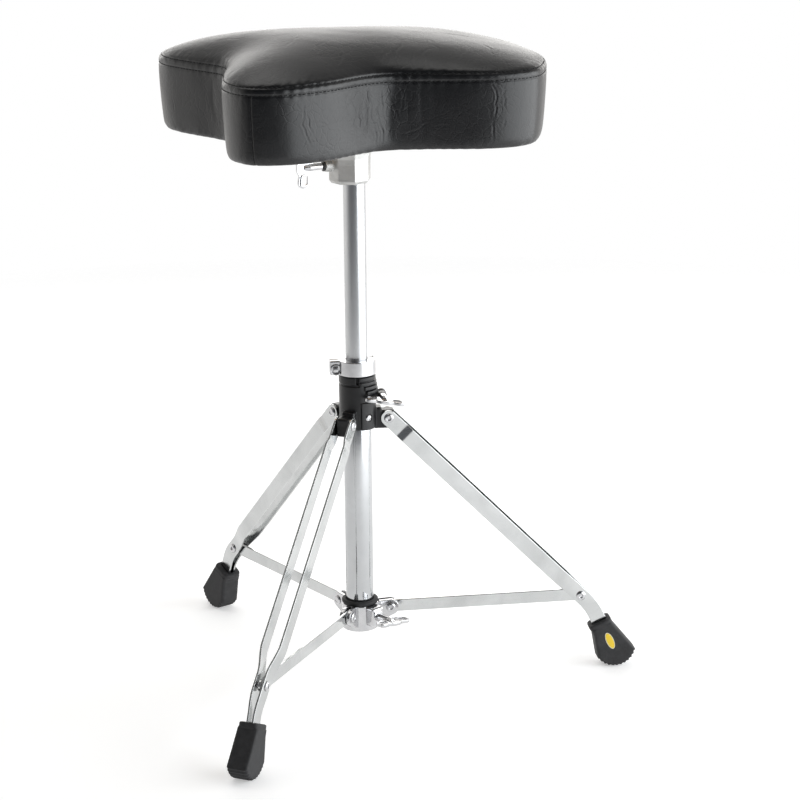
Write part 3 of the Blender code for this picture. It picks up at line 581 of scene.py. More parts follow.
def build_tubes():
    show("lower_tube", tube(TUBE_RADIUS, TUBE_LOW.z, TUBE_HIGH.z), "column", POLISHED)
    show("post_tube", tube(POST_RADIUS, POST_LOW.z, POST_HIGH.z), "post", SATIN_POST)


# ---------------------------------------------------------------- hardware

def wing_bolt(shank_radius, shank_length, collar_radius, collar_length):
    """A bolt along Z, its shank below the origin, with two pierced wings above its collar."""
    base = collar_length
    half = [(0.0030, base - 0.0022), (0.0085, base - 0.0008), (0.0125, base + 0.0006),
            (0.0180, base + 0.0020), (0.0202, base + 0.0042), (0.0205, base + 0.0075),
            (0.0202, base + 0.0108), (0.0188, base + 0.0130), (0.0160, base + 0.0140),
            (0.0120, base + 0.0134), (0.0085, base + 0.0126), (0.0040, base + 0.0150)]
    outline = softened(half + [(-x, z) for x, z in reversed(half)], 0.0015, closed=True)
    wings = plate(outline, -0.00165, 0.00165)
    rims, windows = [], []
    for side in (-1, 1):
        slot = [(side * x, base + z) for x, z in ((0.0080, 0.0036), (0.0172, 0.0044), (0.0176, 0.0108),
                                                  (0.0080, 0.0098))]
        hole = softened(slot[::side], 0.0022, closed=True)
        middle = Vector((side * 0.0128, base + 0.0072))
        wider = [middle + (Vector(p) - middle) * 1.32 for p in hole]
        rims.append(plate(wider, -0.0021, 0.0021))
        windows.append(plate(hole, -0.01, 0.01))
    barrel = soft_turned(((0, base + 0.0070), (collar_radius * 0.8, base + 0.0070),
                          (collar_radius, base + 0.0010), (collar_radius, 0), (shank_radius, 0),
                          (shank_radius, -shank_length), (0, -shank_length)), 0.0006, 40)
    return heap(cut(joined(wings, *rims), *windows), barrel)


def round_head(radius, height, shank_radius, shank_length, socket=0.40):
    """A domed rivet-like head on +Z with a hollow in its crown, and a shank below it."""
    hole = radius * socket
    profile = [(0, height * 0.20), (hole * 0.8, height * 0.20), (hole, height * 0.9)]
    profile += [(hole + (radius - hole) * math.sin(a), height * (0.25 + 0.8 * math.cos(a)))
                for a in (0.15, 0.45, 0.8, 1.15, 1.45)]
    profile += [(radius, 0), (shank_radius, 0), (shank_radius, -shank_length), (0, -shank_length)]
    return turned(softened(profile, 0.0003), 40)


def thread_end(radius, height, bore):
    """A domed cap nut over the other end of a bolt."""
    profile = ((0, height * 0.75), (bore * 0.85, height * 0.75), (bore, height * 1.1),
               (radius * 0.72, height), (radius, height * 0.4), (radius, 0), (0, 0))
    return turned(softened(profile, 0.0003), 40)


def build_wing_bolts():
    """For each: its turn at rest, how far it stands out from its joint, and its sizes."""
    for node, turn, offset, *sizes in (
            ("hub_wing_bolt", -10, 0.0093, 0.0030, 0.0170, 0.0046, 0.0090),
            ("seat_wing_bolt", 90, 0, 0.0030, 0.0216, 0.0036, 0.0120),
            ("lower_wing_bolt", -6, 0, 0.0030, 0.0134, 0.0042, 0.0130)):
        joint = JOINTS[node.replace("_bolt", "_turn")]
        axis = Vector(joint["axis"]).normalized()
        outward = axis.to_track_quat("Z", "Y").to_matrix().to_4x4()
        place = Matrix.Translation(Vector(joint["pos_m"]) + axis * offset) @ outward
        show(node, wing_bolt(*sizes), node, CAST_CHROME,
             place @ Matrix.Rotation(math.radians(turn), 4, "Z"), cast=(0.00032, 5))


# ---------------------------------------------------------------- top hub and lock

HUB_BOTTOM, HUB_GROOVE, HUB_TOP = 0.2738, 0.3205, 0.3295
HUB_RADIUS = 0.0183
PANEL_RADIUS, PANEL_TOP = 0.0196, 0.3023
SLIDING_BORE = TUBE_RADIUS + GAP
CLAMP_ANGLE = column_angle("hub_wing_turn")
CLAMP_BOLT = Vector((0.0250, 0, JOINTS["hub_wing_turn"]["pos_m"][2]))
LEG_ANGLES = [column_angle(f"leg_{k}_fold") for k in (1, 2, 3)]
LEG_PIVOT, BRACE_PIVOT = (Vector(((place - COLUMN).xy.length, 0, place.z)) for place in (
    Vector(JOINTS[name]["pos_m"]) for name in ("leg_1_fold", "brace_1_swing")))
NOTCH_ANGLE = math.radians(-19.6)
SCREW_ANGLE, SCREW_HEIGHT = math.radians(15.9), 0.2864


def top_hub():
    """A painted casting: a sleeve with three lugs, a raised panel, and a split clamp under its ribs."""
    groove = HUB_GROOVE
    body = turned([(SLIDING_BORE, HUB_BOTTOM), (HUB_RADIUS - 0.0008, HUB_BOTTOM),
                   (HUB_RADIUS, HUB_BOTTOM + 0.0008), (HUB_RADIUS, groove - 0.0012),
                   (HUB_RADIUS - 0.0010, groove - 0.0005), (HUB_RADIUS - 0.0010, groove + 0.0005),
                   (HUB_RADIUS + 0.0001, groove + 0.0011), (HUB_RADIUS + 0.0001, HUB_TOP - 0.0007),
                   (HUB_RADIUS - 0.0007, HUB_TOP), (SLIDING_BORE, HUB_TOP)])
    panel = arc_block(0.0160, PANEL_RADIUS, HUB_BOTTOM + 0.0002, PANEL_TOP, math.radians(-8),
                      math.radians(58), 24)
    ribs = [arc_block(0.0160, radius, low, high, math.radians(start), math.radians(108), 30)
            for low, high, radius, start in ((0.3250, 0.3288, 0.0191, -14), (0.3204, 0.3238, 0.0199, -12),
                                             (0.3158, 0.3192, 0.0207, 3), (0.3112, 0.3147, 0.0216, 8))]
    web = box((0.0153, -0.0070, 0.3093), (0.0213, 0.0030, 0.3125), 0.0010)
    lug = box((0.016, -0.0069, 0.2720), (0.0375, 0.0069, 0.2912), 0.0022)
    lug_root = box((0.016, -0.0069, 0.2760), (0.0245, 0.0069, 0.2944), 0.0018)
    bolt = CLAMP_BOLT
    ears = joined(box((0.0160, -0.0088, bolt.z - 0.0044), (bolt.x, 0.0034, bolt.z + 0.0044), 0.0010),
                  rod(0.0050, bolt + Vector((0, -0.0090, 0)), bolt + Vector((0, 0.0036, 0))))
    slit = box((0.010, -0.0011, 0.2990), (0.035, 0.0011, 0.34))
    notch = box((0.010, -0.0013, 0.3215), (0.025, 0.0013, 0.34))
    hole = rod(0.0040, (0.0175, 0, SCREW_HEIGHT), (0.025, 0, SCREW_HEIGHT))
    solid = joined(body, panel, *ribs, spun(web, CLAMP_ANGLE), spun(ears, CLAMP_ANGLE),
                   *(spun(part, a) for a in LEG_ANGLES for part in (lug, lug_root)))
    return cut(solid, spun(slit, CLAMP_ANGLE), spun(notch, NOTCH_ANGLE), spun(hole, SCREW_ANGLE))


def hub_screw():
    """A pan head with a cross recess."""
    head = soft_turned(((0, 0.0022), (0.0022, 0.0020), (0.0036, 0.0009), (0.0036, 0), (0.0018, 0),
                        (0.0018, -0.0035), (0, -0.0035)), 0.0004, 40)
    blades = [box((-0.0023, -0.00045, 0.0009), (0.0023, 0.00045, 0.004)),
              box((-0.00045, -0.0023, 0.0009), (0.00045, 0.0023, 0.004))]
    return aimed(cut(head, *blades), (0.0181, 0, SCREW_HEIGHT), (1, 0, 0))


def build_top_hub():
    show("top_hub", top_hub(), "column", ENAMEL, cast=(0.00042, 3))
    show("hub_fixing_screw", hub_screw(), "column", CAST_CHROME, column_frame(SCREW_ANGLE))
    nut = aimed(thread_end(0.0056, 0.0040, 0.0030), (CLAMP_BOLT.x, 0.0039, CLAMP_BOLT.z), (0, 1, 0))
    show("hub_clamp_nut", nut, "column", CAST_CHROME, column_frame(CLAMP_ANGLE))
    low = TUBE_HIGH.z + 0.0003
    ring = soft_turned(((POST_RADIUS + GAP, low), (TUBE_RADIUS, low), (TUBE_RADIUS, HUB_TOP - GAP),
                        (POST_RADIUS + GAP, HUB_TOP - GAP)), 0.0005)
    show("hub_bushing", ring, "column", NYLON)


LOCK_BOTTOM, LOCK_TOP = 0.3302, 0.3450
LOCK_BORE, LOCK_RADIUS = POST_RADIUS + GAP, 0.0195
EAR_ANGLE = column_angle("lock_key_turn")
PIN_ANGLE = column_angle("lock_gate_open")
PIN_DISTANCE, LOCK_BOLT = 0.019, Vector((0.0217, 0, 0.3355))
PIN = (PIN_DISTANCE * math.cos(PIN_ANGLE), PIN_DISTANCE * math.sin(PIN_ANGLE))
NEAR_PIN = math.radians(12.5)  # where each half of the ring stops, short of the pin


def lock_half(start, end, side, knuckles):
    ring = arc_block(LOCK_BORE, LOCK_RADIUS, LOCK_BOTTOM, LOCK_TOP, start, end, 40)
    ear_low, ear_high = sorted((side * 0.0008, side * 0.0072))
    ear = box((0.0150, ear_low, LOCK_BOTTOM), (0.0278, ear_high, LOCK_TOP), 0.0012, 3)
    parts = [spun(ear, EAR_ANGLE)]
    for low, high in knuckles:
        parts.append(rod(0.0031, (*PIN, low), (*PIN, high)))
        parts.append(arc_block(LOCK_BORE + 0.0012, LOCK_RADIUS, low, high, PIN_ANGLE,
                               PIN_ANGLE - side * NEAR_PIN * 1.4, 4))
    bore = rod(LOCK_BORE, (0, 0, 0.30), (0, 0, 0.36), 96)
    return cut(joined(ring, *parts), bore)


def build_lock():
    gap = math.radians(4)
    low_third, high_third = LOCK_BOTTOM + 0.0048, LOCK_TOP - 0.0048
    front = lock_half(EAR_ANGLE + gap, PIN_ANGLE - NEAR_PIN, 1, [(low_third + GAP, high_third - GAP)])
    back = lock_half(EAR_ANGLE + math.tau - gap, PIN_ANGLE + NEAR_PIN, -1,
                     [(LOCK_BOTTOM, low_third), (high_third, LOCK_TOP)])
    recess = rod(0.0046, (LOCK_BOLT.x, 0.0042, LOCK_BOLT.z), (LOCK_BOLT.x, 0.01, LOCK_BOLT.z), 40)
    collar = aimed(soft_turned(((0.0043, 0.0062), (0.0056, 0.0062), (0.0056, 0.0077),
                                (0.0048, 0.0079), (0.0043, 0.0076)), 0.0003, 40),
                   (LOCK_BOLT.x, 0, LOCK_BOLT.z), (0, 1, 0))
    front = joined(cut(front, spun(recess, EAR_ANGLE)), spun(collar, EAR_ANGLE))
    show("memory_lock_front", front, "memory_lock", CAST_CHROME, cast=(0.00030, 4))
    show("memory_lock_gate", back, "memory_lock_gate", CAST_CHROME, cast=(0.00030, 4))
    height = LOCK_TOP - LOCK_BOTTOM + 0.0006
    profile = ((0, height), (0.0010, height), (0.0013, height - 0.0004), (0.0013, 0), (0, 0))
    show("memory_lock_pin", shifted(turned(profile, 32), *PIN, LOCK_BOTTOM), "memory_lock", CAST_CHROME)
    head = box((-0.0025, -0.0025, 0.0046), (0.0025, 0.0025, 0.0078), 0.0006)
    bolt = joined(rod(0.0021, (0, 0, -0.0065), (0, 0, 0.0050), 32), head)
    show("memory_lock_key_bolt", aimed(bolt, LOCK_BOLT, (0, 1, 0)), "memory_lock_key_bolt", CAST_CHROME,
         column_frame(EAR_ANGLE), edge=0.0002)


# ---------------------------------------------------------------- lower hub

COLLAR_BOTTOM, COLLAR_TOP, COLLAR_RADIUS = 0.0567, 0.0842, 0.0187
RING_TOP = 0.0886
LOWER_BOLT_ANGLE, LOWER_BOLT_HEIGHT = column_angle("lower_wing_turn"), 0.0735


def lower_hub():
    """A chromed casting: a collar with three pairs of clevis ears and a boss for the wing bolt."""
    collar = turned(softened([(SLIDING_BORE, COLLAR_BOTTOM), (COLLAR_RADIUS, COLLAR_BOTTOM),
                              (COLLAR_RADIUS, COLLAR_TOP), (SLIDING_BORE, COLLAR_TOP)], 0.001, True))
    ledge = COLLAR_TOP - 0.0005
    tip = (BRACE_PIVOT.x, BRACE_PIVOT.z)
    clevis = [(0.0155, 0.0605), (0.0155, ledge), (0.0193, ledge), (0.0193, 0.0852)]
    clevis += reversed(arc(tip, 0.0085, math.radians(-75), math.radians(100), 20))
    ear = plate(clevis, 0.0019, 0.0059)
    ears = [spun(shifted(ear, 0, y, 0), a) for a in LEG_ANGLES for y in (0, -0.0078)]
    boss = box((0.0155, -0.0080, 0.0635), (0.0280, 0.0080, ledge), 0.0024)
    nose = rod(0.0066, (0.0200, 0, LOWER_BOLT_HEIGHT - 0.0006), (0.0286, 0, LOWER_BOLT_HEIGHT - 0.0006))
    groove = box((0.0190, -0.0095, 0.0618), (0.0300, 0.0095, 0.0636))
    solid = joined(collar, spun(boss, LOWER_BOLT_ANGLE), spun(nose, LOWER_BOLT_ANGLE), *ears)
    thread_hole = rod(0.0032, (0.020, 0, LOWER_BOLT_HEIGHT), (0.04, 0, LOWER_BOLT_HEIGHT))
    return cut(solid, spun(thread_hole, LOWER_BOLT_ANGLE), spun(groove, LOWER_BOLT_ANGLE))


def build_lower_hub():
    show("lower_hub", lower_hub(), "sliding_hub", CAST_CHROME, cast=(0.00040, 4))
    low = COLLAR_TOP + 0.0003
    ring = soft_turned(((SLIDING_BORE, low), (COLLAR_RADIUS, low), (COLLAR_RADIUS + 0.0002, RING_TOP - 0.001),
                        (COLLAR_RADIUS - 0.0012, RING_TOP), (SLIDING_BORE, RING_TOP)), 0.0011)
    show("lower_hub_ring", ring, "sliding_hub", HUB_RING)
    flange = TUBE_LOW.z - 0.0003
    plug = soft_turned(((0, 0.066), (0.0124, 0.066), (0.0124, flange), (TUBE_RADIUS, flange),
                        (TUBE_RADIUS - 0.0014, 0.0567), (0, 0.0567)), 0.0006)
    show("lower_tube_plug", plug, "column", NYLON)


# ---------------------------------------------------------------- legs and braces

LEG_SLOPE, FOOT_SLOPE = math.radians(44.6), math.radians(24)
LEG_TO_BRACE = 0.2866
BEND_START, BEND_LENGTH = 0.2906, 0.0263
BAR_WIDTH, BAR_THICKNESS, BAR_END = 0.016, 0.002, 0.347
BRACE_WIDTH, BRACE_THICKNESS = 0.013, 0.0028
BAR_SPREAD = ((-0.008, 0.0082), (0.018, 0.0082), (0.028, 0.0098), (0.246, 0.0098),
              (0.278, 0.0045), (0.294, 0.0045), (0.318, 0.0029), (0.347, 0.0029))


def spread_at(along):
    """Half the distance between a leg's bars, this far down from the pivot."""
    for (start, low), (end, high) in zip(BAR_SPREAD, BAR_SPREAD[1:]):
        if along <= end:
            return mixed(low, high, smooth_step((along - start) / (end - start)))
    return BAR_SPREAD[-1][1]


def leg_line(along):
    """The point this far down a leg's line from its pivot, and its slope from the vertical."""
    straight = min(along, BEND_START)
    x, z = straight * math.sin(LEG_SLOPE), -straight * math.cos(LEG_SLOPE)
    radius = BEND_LENGTH / (LEG_SLOPE - FOOT_SLOPE)
    bent = min(max(along - BEND_START, 0), BEND_LENGTH)
    slope = LEG_SLOPE - bent / radius
    x += radius * (math.cos(slope) - math.cos(LEG_SLOPE))
    z -= radius * (math.sin(LEG_SLOPE) - math.sin(slope))
    rest = max(along - BEND_START - BEND_LENGTH, 0)
    return Vector((x + rest * math.sin(FOOT_SLOPE), 0, z - rest * math.cos(FOOT_SLOPE))), slope


def leg_bar(side):
    """One flat bar of a leg, with its origin on the leg's pivot. Its top end is round."""
    end = BAR_WIDTH / 2
    stations = [-end * math.cos(math.pi / 2 * i / 10) for i in range(1, 10)]
    stations += [0.029 * i / 24 for i in range(25)]
    stations += [mixed(0.030, 0.244, i / 12) for i in range(13)]
    stations += [mixed(0.246, BAR_END, i / 60) for i in range(61)]
    rings = []
    for along in stations:
        point, slope = leg_line(along)
        half = math.sqrt(end ** 2 - min(along, 0) ** 2)
        across = Vector((math.cos(slope), 0, math.sin(slope))) * half
        middle = side * spread_at(along)
        rings.append([point + across * edge + Vector((0, middle + face * BAR_THICKNESS / 2, 0))
                      for edge, face in ((-1, -1), (1, -1), (1, 1), (-1, 1))])
    return loft(rings)


def build_leg(number):
    body = f"leg_{number}"
    place = joint_frame(f"leg_{number}_fold")
    for side, name in ((1, "left"), (-1, "right")):
        show(f"{body}_{name}_bar", leg_bar(side), body, BAR_CHROME, place, edge=0.0005)
    top = spread_at(0) + BAR_THICKNESS / 2
    bolt = round_head(0.0050, 0.0019, 0.0030, 2 * top)
    show(f"{body}_pivot_bolt", aimed(bolt, (0, -top, 0), (0, -1, 0)), body, CAST_CHROME, place)
    nut = thread_end(0.0050, 0.0018, 0.0026)
    show(f"{body}_pivot_nut", aimed(nut, (0, top, 0), (0, 1, 0)), body, CAST_CHROME, place)
    joint, _ = leg_line(LEG_TO_BRACE)
    low = spread_at(LEG_TO_BRACE) + BAR_THICKNESS / 2
    stub = round_head(0.0050, 0.0019, 0.0030, 0.0034)
    for name, side in (("left", 1), ("right", -1)):
        head = aimed(stub, joint + Vector((0, side * low, 0)), (0, side, 0))
        show(f"{body}_brace_bolt_{name}", head, body, CAST_CHROME, place)


def build_brace(number):
    body = f"brace_{number}"
    place = joint_frame(f"brace_{number}_swing")
    joint, _ = leg_line(LEG_TO_BRACE)
    reach = LEG_PIVOT + joint - BRACE_PIVOT
    slope = math.atan2(reach.z, reach.x)
    radius = BRACE_WIDTH / 2
    outline = (arc((reach.length, 0), radius, -math.pi / 2, math.pi / 2, 20)
               + arc((0, 0), radius, math.pi / 2, 3 * math.pi / 2, 20))
    bar = plate(outline, -BRACE_THICKNESS / 2, BRACE_THICKNESS / 2)
    show(body, bar, body, BAR_CHROME, place @ Matrix.Rotation(-slope, 4, "Y"), edge=0.0006)
    bolt = aimed(round_head(0.0048, 0.0015, 0.0030, 0.0124), (0, -0.0060, 0), (0, -1, 0))
    show(f"{body}_hub_bolt", bolt, body, CAST_CHROME, place)
    nut = aimed(thread_end(0.0048, 0.0015, 0.0026), (0, 0.0060, 0), (0, 1, 0))
    show(f"{body}_hub_nut", nut, body, CAST_CHROME, place)


# ---------------------------------------------------------------- feet

FOOT_RIM, FOOT_THICKNESS = 0.0065, 0.022
SOLE_CENTRE, SOLE_RADIUS = (0.0042, 0.0382), 0.0225
SOLE_START, SOLE_END = math.radians(168), math.radians(36)
TEETH, TOOTH_DEPTH = 11, 0.0014


def to_leg(across, down, y=0.0):
    """A point of the foot from the leg's pivot: across its axis, and down it from the bend."""
    start, _ = leg_line(BEND_START + BEND_LENGTH)
    return (start + Vector((math.cos(FOOT_SLOPE), 0, math.sin(FOOT_SLOPE))) * across
            + Vector((math.sin(FOOT_SLOPE), 0, -math.cos(FOOT_SLOPE))) * down + Vector((0, y, 0)))


def foot_ring(inset, y):
    """The foot's outline in its plane, drawn in from its edge. The sole keeps a saw-tooth edge."""
    neck = 0.0115 - inset
    outline = [(neck + 0.0002, 0.0115)]
    for i in range(2 * TEETH + 1):
        angle = SOLE_END + (SOLE_START - SOLE_END) * i / (2 * TEETH)
        radius = SOLE_RADIUS - inset - TOOTH_DEPTH * (i % 2)
        outline.append((SOLE_CENTRE[0] + radius * math.cos(angle),
                        SOLE_CENTRE[1] + radius * math.sin(angle)))
    outline += [(-neck - 0.0002, 0.018), (-neck, 0.0115)]
    points = [to_leg(across, down, y) for across, down in outline]
    for point in points:
        point.z = max(point.z, -LEG_PIVOT.z)
    return points


def foot():
    """A boot with a rolled lip round its mouth and ribs across its sole."""
    half = FOOT_THICKNESS / 2
    stations = ((-1.0, 0.0030), (-0.97, 0.0016), (-0.88, 0.0006), (-0.72, 0), (0.72, 0),
                (0.88, 0.0006), (0.97, 0.0016), (1.0, 0.0030))
    boot = loft([foot_ring(inset, share * half) for share, inset in stations])
    lip = []
    for down, grow in ((FOOT_RIM, -0.0012), (FOOT_RIM + 0.0004, -0.0003), (FOOT_RIM + 0.0016, 0.0),
                       (FOOT_RIM + 0.0042, 0.0), (FOOT_RIM + 0.0056, -0.0003),
                       (FOOT_RIM + 0.0062, -0.0014)):
        ring = arc((0, 0), 1, 0, math.tau * 47 / 48, 47)
        lip.append([to_leg((0.0126 + grow) * math.copysign(abs(x) ** 0.45, x), down,
                           (0.0108 + grow) * math.copysign(abs(y) ** 0.45, y)) for x, y in ring])
    pocket_end = BAR_END - BEND_START - BEND_LENGTH + 0.0005
    corners = [to_leg(x, d) for x, d in ((-0.0084, -0.01), (0.0084, -0.01), (0.0084, pocket_end),
                                         (-0.0084, pocket_end))]
    pocket = plate([(p.x, p.z) for p in corners], -0.0042, 0.0042)
    return cut(joined(boot, loft(lip)), pocket)


def oval(reach_across, reach_down, low, high):
    ring = arc((0, 0), 1, 0, math.tau * 63 / 64, 63)
    points = [to_leg(0.0015 + reach_across * x, 0.029 + reach_down * d) for x, d in ring]
    return plate([(p.x, p.z) for p in points], low, high)


def build_foot(number):
    body = f"leg_{number}"
    place = joint_frame(f"leg_{number}_fold")
    show(f"{body}_foot", foot(), body, RUBBER, place, cast=(0.00045, 2))
    side = FOOT_THICKNESS / 2
    show(f"{body}_foot_badge", oval(0.0033, 0.0090, -side - 0.0004, -side + 0.0007), body, YELLOW,
         place, edge=0.0002)
    rim = cut(oval(0.0040, 0.0098, -side - 0.0002, -side + 0.0006), oval(0.0034, 0.0091, -0.02, 0.02))
    made = linked(f"{body}_badge_rim", rim)
    rim.materials.append(PALE_RIM[1])
    made.matrix_world = place
    rounded(made, 0.0001)
    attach(made, body)


# ---------------------------------------------------------------- seat bracket

BRACKET_LOW, BRACKET_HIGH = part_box("seat_bracket")
FLANGE_THICKNESS = 0.0034
SOCKET_TURN, SOCKET_OFFSET = math.radians(-7.5), -0.0043
SEAT_BOLT_HEIGHT = JOINTS["seat_wing_turn"]["pos_m"][2]
SEAT_SCREW_PLACES = [(x, y) for x in (-0.042, 0.042) for y in (-0.042, 0.042)]


def seat_bracket():
    """A cast socket, eight-sided outside, that flares into a square flange under the board."""
    bottom, top = BRACKET_LOW.z, BRACKET_HIGH.z
    flange_low = top - FLANGE_THICKNESS
    flare = [(0.0190, bottom), (0.0212, bottom + 0.003), (0.0212, 0.546), (0.0216, 0.552),
             (0.0228, 0.557), (0.0250, 0.562), (0.0290, 0.5665), (0.0360, flange_low + 0.001)]
    socket = turned(((0, bottom), *flare, (0, flange_low + 0.001)), 8)
    socket = shifted(spun(socket, SOCKET_TURN), 0, SOCKET_OFFSET, 0)
    half = (BRACKET_HIGH.x - BRACKET_LOW.x) / 2
    flange = box((-half, -half, flange_low), (half, half, top), 0.0008)
    webs = [spun(box((0.018, -0.0020, 0.562), (0.046, 0.0020, flange_low + 0.0006), 0.0006),
                 math.radians(45 + 90 * k)) for k in range(4)]
    boss = soft_turned(((0, 0.0136), (0.0058, 0.0136), (0.0064, 0), (0, 0)), 0.0005, 40)
    boss = aimed(boss, (0, -0.0174, SEAT_BOLT_HEIGHT), (0, -1, 0))
    bore = rod(POST_RADIUS + GAP, (0, 0, 0.50), (0, 0, POST_HIGH.z + 0.0003), 96)
    hole = rod(0.0033, (0, -0.012, SEAT_BOLT_HEIGHT), (0, -0.04, SEAT_BOLT_HEIGHT))
    holes = [rod(0.0026, (x, y, 0.56), (x, y, 0.58), 24) for x, y in SEAT_SCREW_PLACES]
    return cut(joined(socket, flange, boss, *webs), bore, hole, *holes)


def build_bracket():
    show("seat_bracket", seat_bracket(), "seat", ALUMINIUM, cast=(0.00050, 3))
    screw = round_head(0.0050, 0.0024, 0.0022, 0.0120, 0.30)
    for number, (x, y) in enumerate(SEAT_SCREW_PLACES, 1):
        place = (x, y, BRACKET_HIGH.z - FLANGE_THICKNESS)
        show(f"seat_screw_{number}", aimed(screw, place, (0, 0, -1)), "seat", CAST_CHROME)
    washer = soft_turned(((0.0033, 0), (0.0052, 0), (0.0052, 0.0017), (0.0033, 0.0017)), 0.0004, 40)
    show("seat_bolt_washer", aimed(washer, (0, -0.0313, SEAT_BOLT_HEIGHT), (0, -1, 0)), "seat", WASHER)


# ---------------------------------------------------------------- seat

SEAT_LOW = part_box("seat_cushion")[0]
BOARD_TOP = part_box("seat_board")[1].z
SEAT_REACH = 0.145
SEAT_OUTLINE = ((0, -0.133), (0.055, -0.152), (0.094, -0.163), (0.131, -0.156), (0.1465, -0.1225),
                (0.1395, -0.080), (0.1125, -0.020), (0.1185, 0.021), (0.1435, 0.083), (0.1440, 0.1195),
                (0.1245, 0.147), (0.065, 0.177), (0, 0.185))
LOWER_STITCHES, UPPER_STITCHES = 0.6400, 0.6475
SIDE_SEAM = -48.5  # the front side seam's direction from the column, in degrees
CROWN_HEIGHT, CROWN_POWER, CROWN_TILT = 0.0300, 0.8, 2.0


def smooth_loop(points, steps):
    """Points along a closed Catmull-Rom curve."""
    count, out = len(points), []
    for i in range(count):
        a, b, c, d = (Vector(points[(i + k) % count]) for k in (-1, 0, 1, 2))
        for step in range(steps):
            t = step / steps
            out.append(0.5 * (2 * b + (c - a) * t + (2 * a - 5 * b + 4 * c - d) * t ** 2
                              + (3 * b - a - 3 * c + d) * t ** 3))
    return out


def seat_edge(steps):
    left = [(-x, y) for x, y in SEAT_OUTLINE[-2:0:-1]]
    return smooth_loop([*SEAT_OUTLINE, *left], steps)


EDGE = np.array([tuple(p) for p in seat_edge(24)])
EDGE_ANGLE = np.unwrap(np.arctan2(EDGE[:, 1], EDGE[:, 0]))
EDGE_REACH = np.linalg.norm(EDGE, axis=1)
EDGE_ALONG = np.concatenate([[0], np.cumsum(np.linalg.norm(np.diff(EDGE, axis=0), axis=1))])
EDGE_LENGTH = EDGE_ALONG[-1] + np.linalg.norm(EDGE[0] - EDGE[-1])
# The same with the first point again at the end, so that the loop is closed.
CLOSED_ANGLE = np.append(EDGE_ANGLE, EDGE_ANGLE[0] + math.tau)
CLOSED_REACH = np.append(EDGE_REACH, EDGE_REACH[0])
CLOSED_ALONG = np.append(EDGE_ALONG, EDGE_LENGTH)
CLOSED_X, CLOSED_Y = (np.append(EDGE[:, k], EDGE[0, k]) for k in (0, 1))


def on_seat(points):
    """For points from the column: their share of the way out to the edge, and the place along it."""
    angle = np.arctan2(points[:, 1], points[:, 0])
    angle = np.where(angle < EDGE_ANGLE[0], angle + math.tau, angle)
    reach = np.interp(angle, CLOSED_ANGLE, CLOSED_REACH)
    along = np.interp(angle, CLOSED_ANGLE, CLOSED_ALONG)
    return np.linalg.norm(points[:, :2], axis=1) / reach, along


def along_at(degrees):
    """The place along the edge in this direction from the column."""
    angle = math.radians(degrees)
    return float(on_seat(np.array([[math.cos(angle), math.sin(angle), 0.0]]))[1][0])


def membrane(cell=0.004, rounds=900):
    """A skin blown up over the outline, as a grid of shares of its greatest height."""
    xs = np.arange(-0.160, 0.161, cell)
    ys = np.arange(-0.180, 0.201, cell)
    across, along = np.meshgrid(xs, ys, indexing="ij")
    points = np.stack([across.ravel(), along.ravel()], axis=1)
    share, _ = on_seat(points)
    inside = (share < 1.0).reshape(across.shape)
    height = np.zeros(across.shape)
    for _ in range(rounds):
        around = (np.roll(height, 1, 0) + np.roll(height, -1, 0) + np.roll(height, 1, 1)
                  + np.roll(height, -1, 1)) / 4
        height = np.where(inside, around + 1.0, 0.0)
    return xs, ys, height / height.max()


def crown_height(points):
    """How high the crown stands above the upper stitches at these places. It grows to the front."""
    xs, ys, grid = MEMBRANE
    u = np.clip((points[:, 0] - xs[0]) / (xs[1] - xs[0]), 0, len(xs) - 1.001)
    v = np.clip((points[:, 1] - ys[0]) / (ys[1] - ys[0]), 0, len(ys) - 1.001)
    i, j = u.astype(int), v.astype(int)
    u, v = u - i, v - j
    blown = (grid[i, j] * (1 - u) * (1 - v) + grid[i + 1, j] * u * (1 - v)
             + grid[i, j + 1] * (1 - u) * v + grid[i + 1, j + 1] * u * v)
    return CROWN_HEIGHT * (1 - CROWN_TILT * points[:, 1]) * blown ** CROWN_POWER


MEMBRANE = membrane()


def cushion_form():
    """The cushion's closed form before its cover swells, with the board's pocket under it."""
    edge = seat_edge(6)

    def ring(inset, height):
        scale = 1 - inset / SEAT_REACH
        return [(scale * p.x, scale * p.y, height) for p in edge]

    low = SEAT_LOW.z
    rings = [ring(0.0155, BOARD_TOP + 0.0006), ring(0.0155, low + 0.0002), ring(0.0080, low - 0.0006),
             ring(0.0044, low + 0.0008), ring(0.0030, low + 0.0046), ring(0.0024, low + 0.010),
             ring(0.0012, low + 0.026), ring(0.0004, LOWER_STITCHES - 0.018),
             ring(0.0, LOWER_STITCHES - 0.004), ring(0.0002, LOWER_STITCHES),
             ring(0.0006, UPPER_STITCHES - 0.0010), ring(0.0022, UPPER_STITCHES + 0.0010)]
    for inset in (0.0045, 0.007, 0.011, 0.016, 0.023, 0.032, 0.044, 0.058, 0.074, 0.092, 0.112, 0.130, 0.142):
        points = np.array(ring(inset, 0.0))
        rise = crown_height(points)
        rings.append([(x, y, UPPER_STITCHES - 0.0010 + h) for (x, y, _), h in zip(points, rise)])
    return loft(rings)


def read_points(mesh, what="co"):
    flat = np.empty(len(mesh.vertices) * 3, np.float32)
    mesh.vertices.foreach_get(what, flat)
    return flat.reshape(-1, 3).astype(float)


def set_coords(mesh, coords):
    mesh.vertices.foreach_set("co", coords.astype(np.float32).ravel())
    mesh.update()


def applied(made):
    """Replaces the mesh by what its modifiers make of it."""
    graph = bpy.context.evaluated_depsgraph_get()
    result = bpy.data.meshes.new_from_object(made.evaluated_get(graph))
    made.modifiers.clear()
    made.data = result


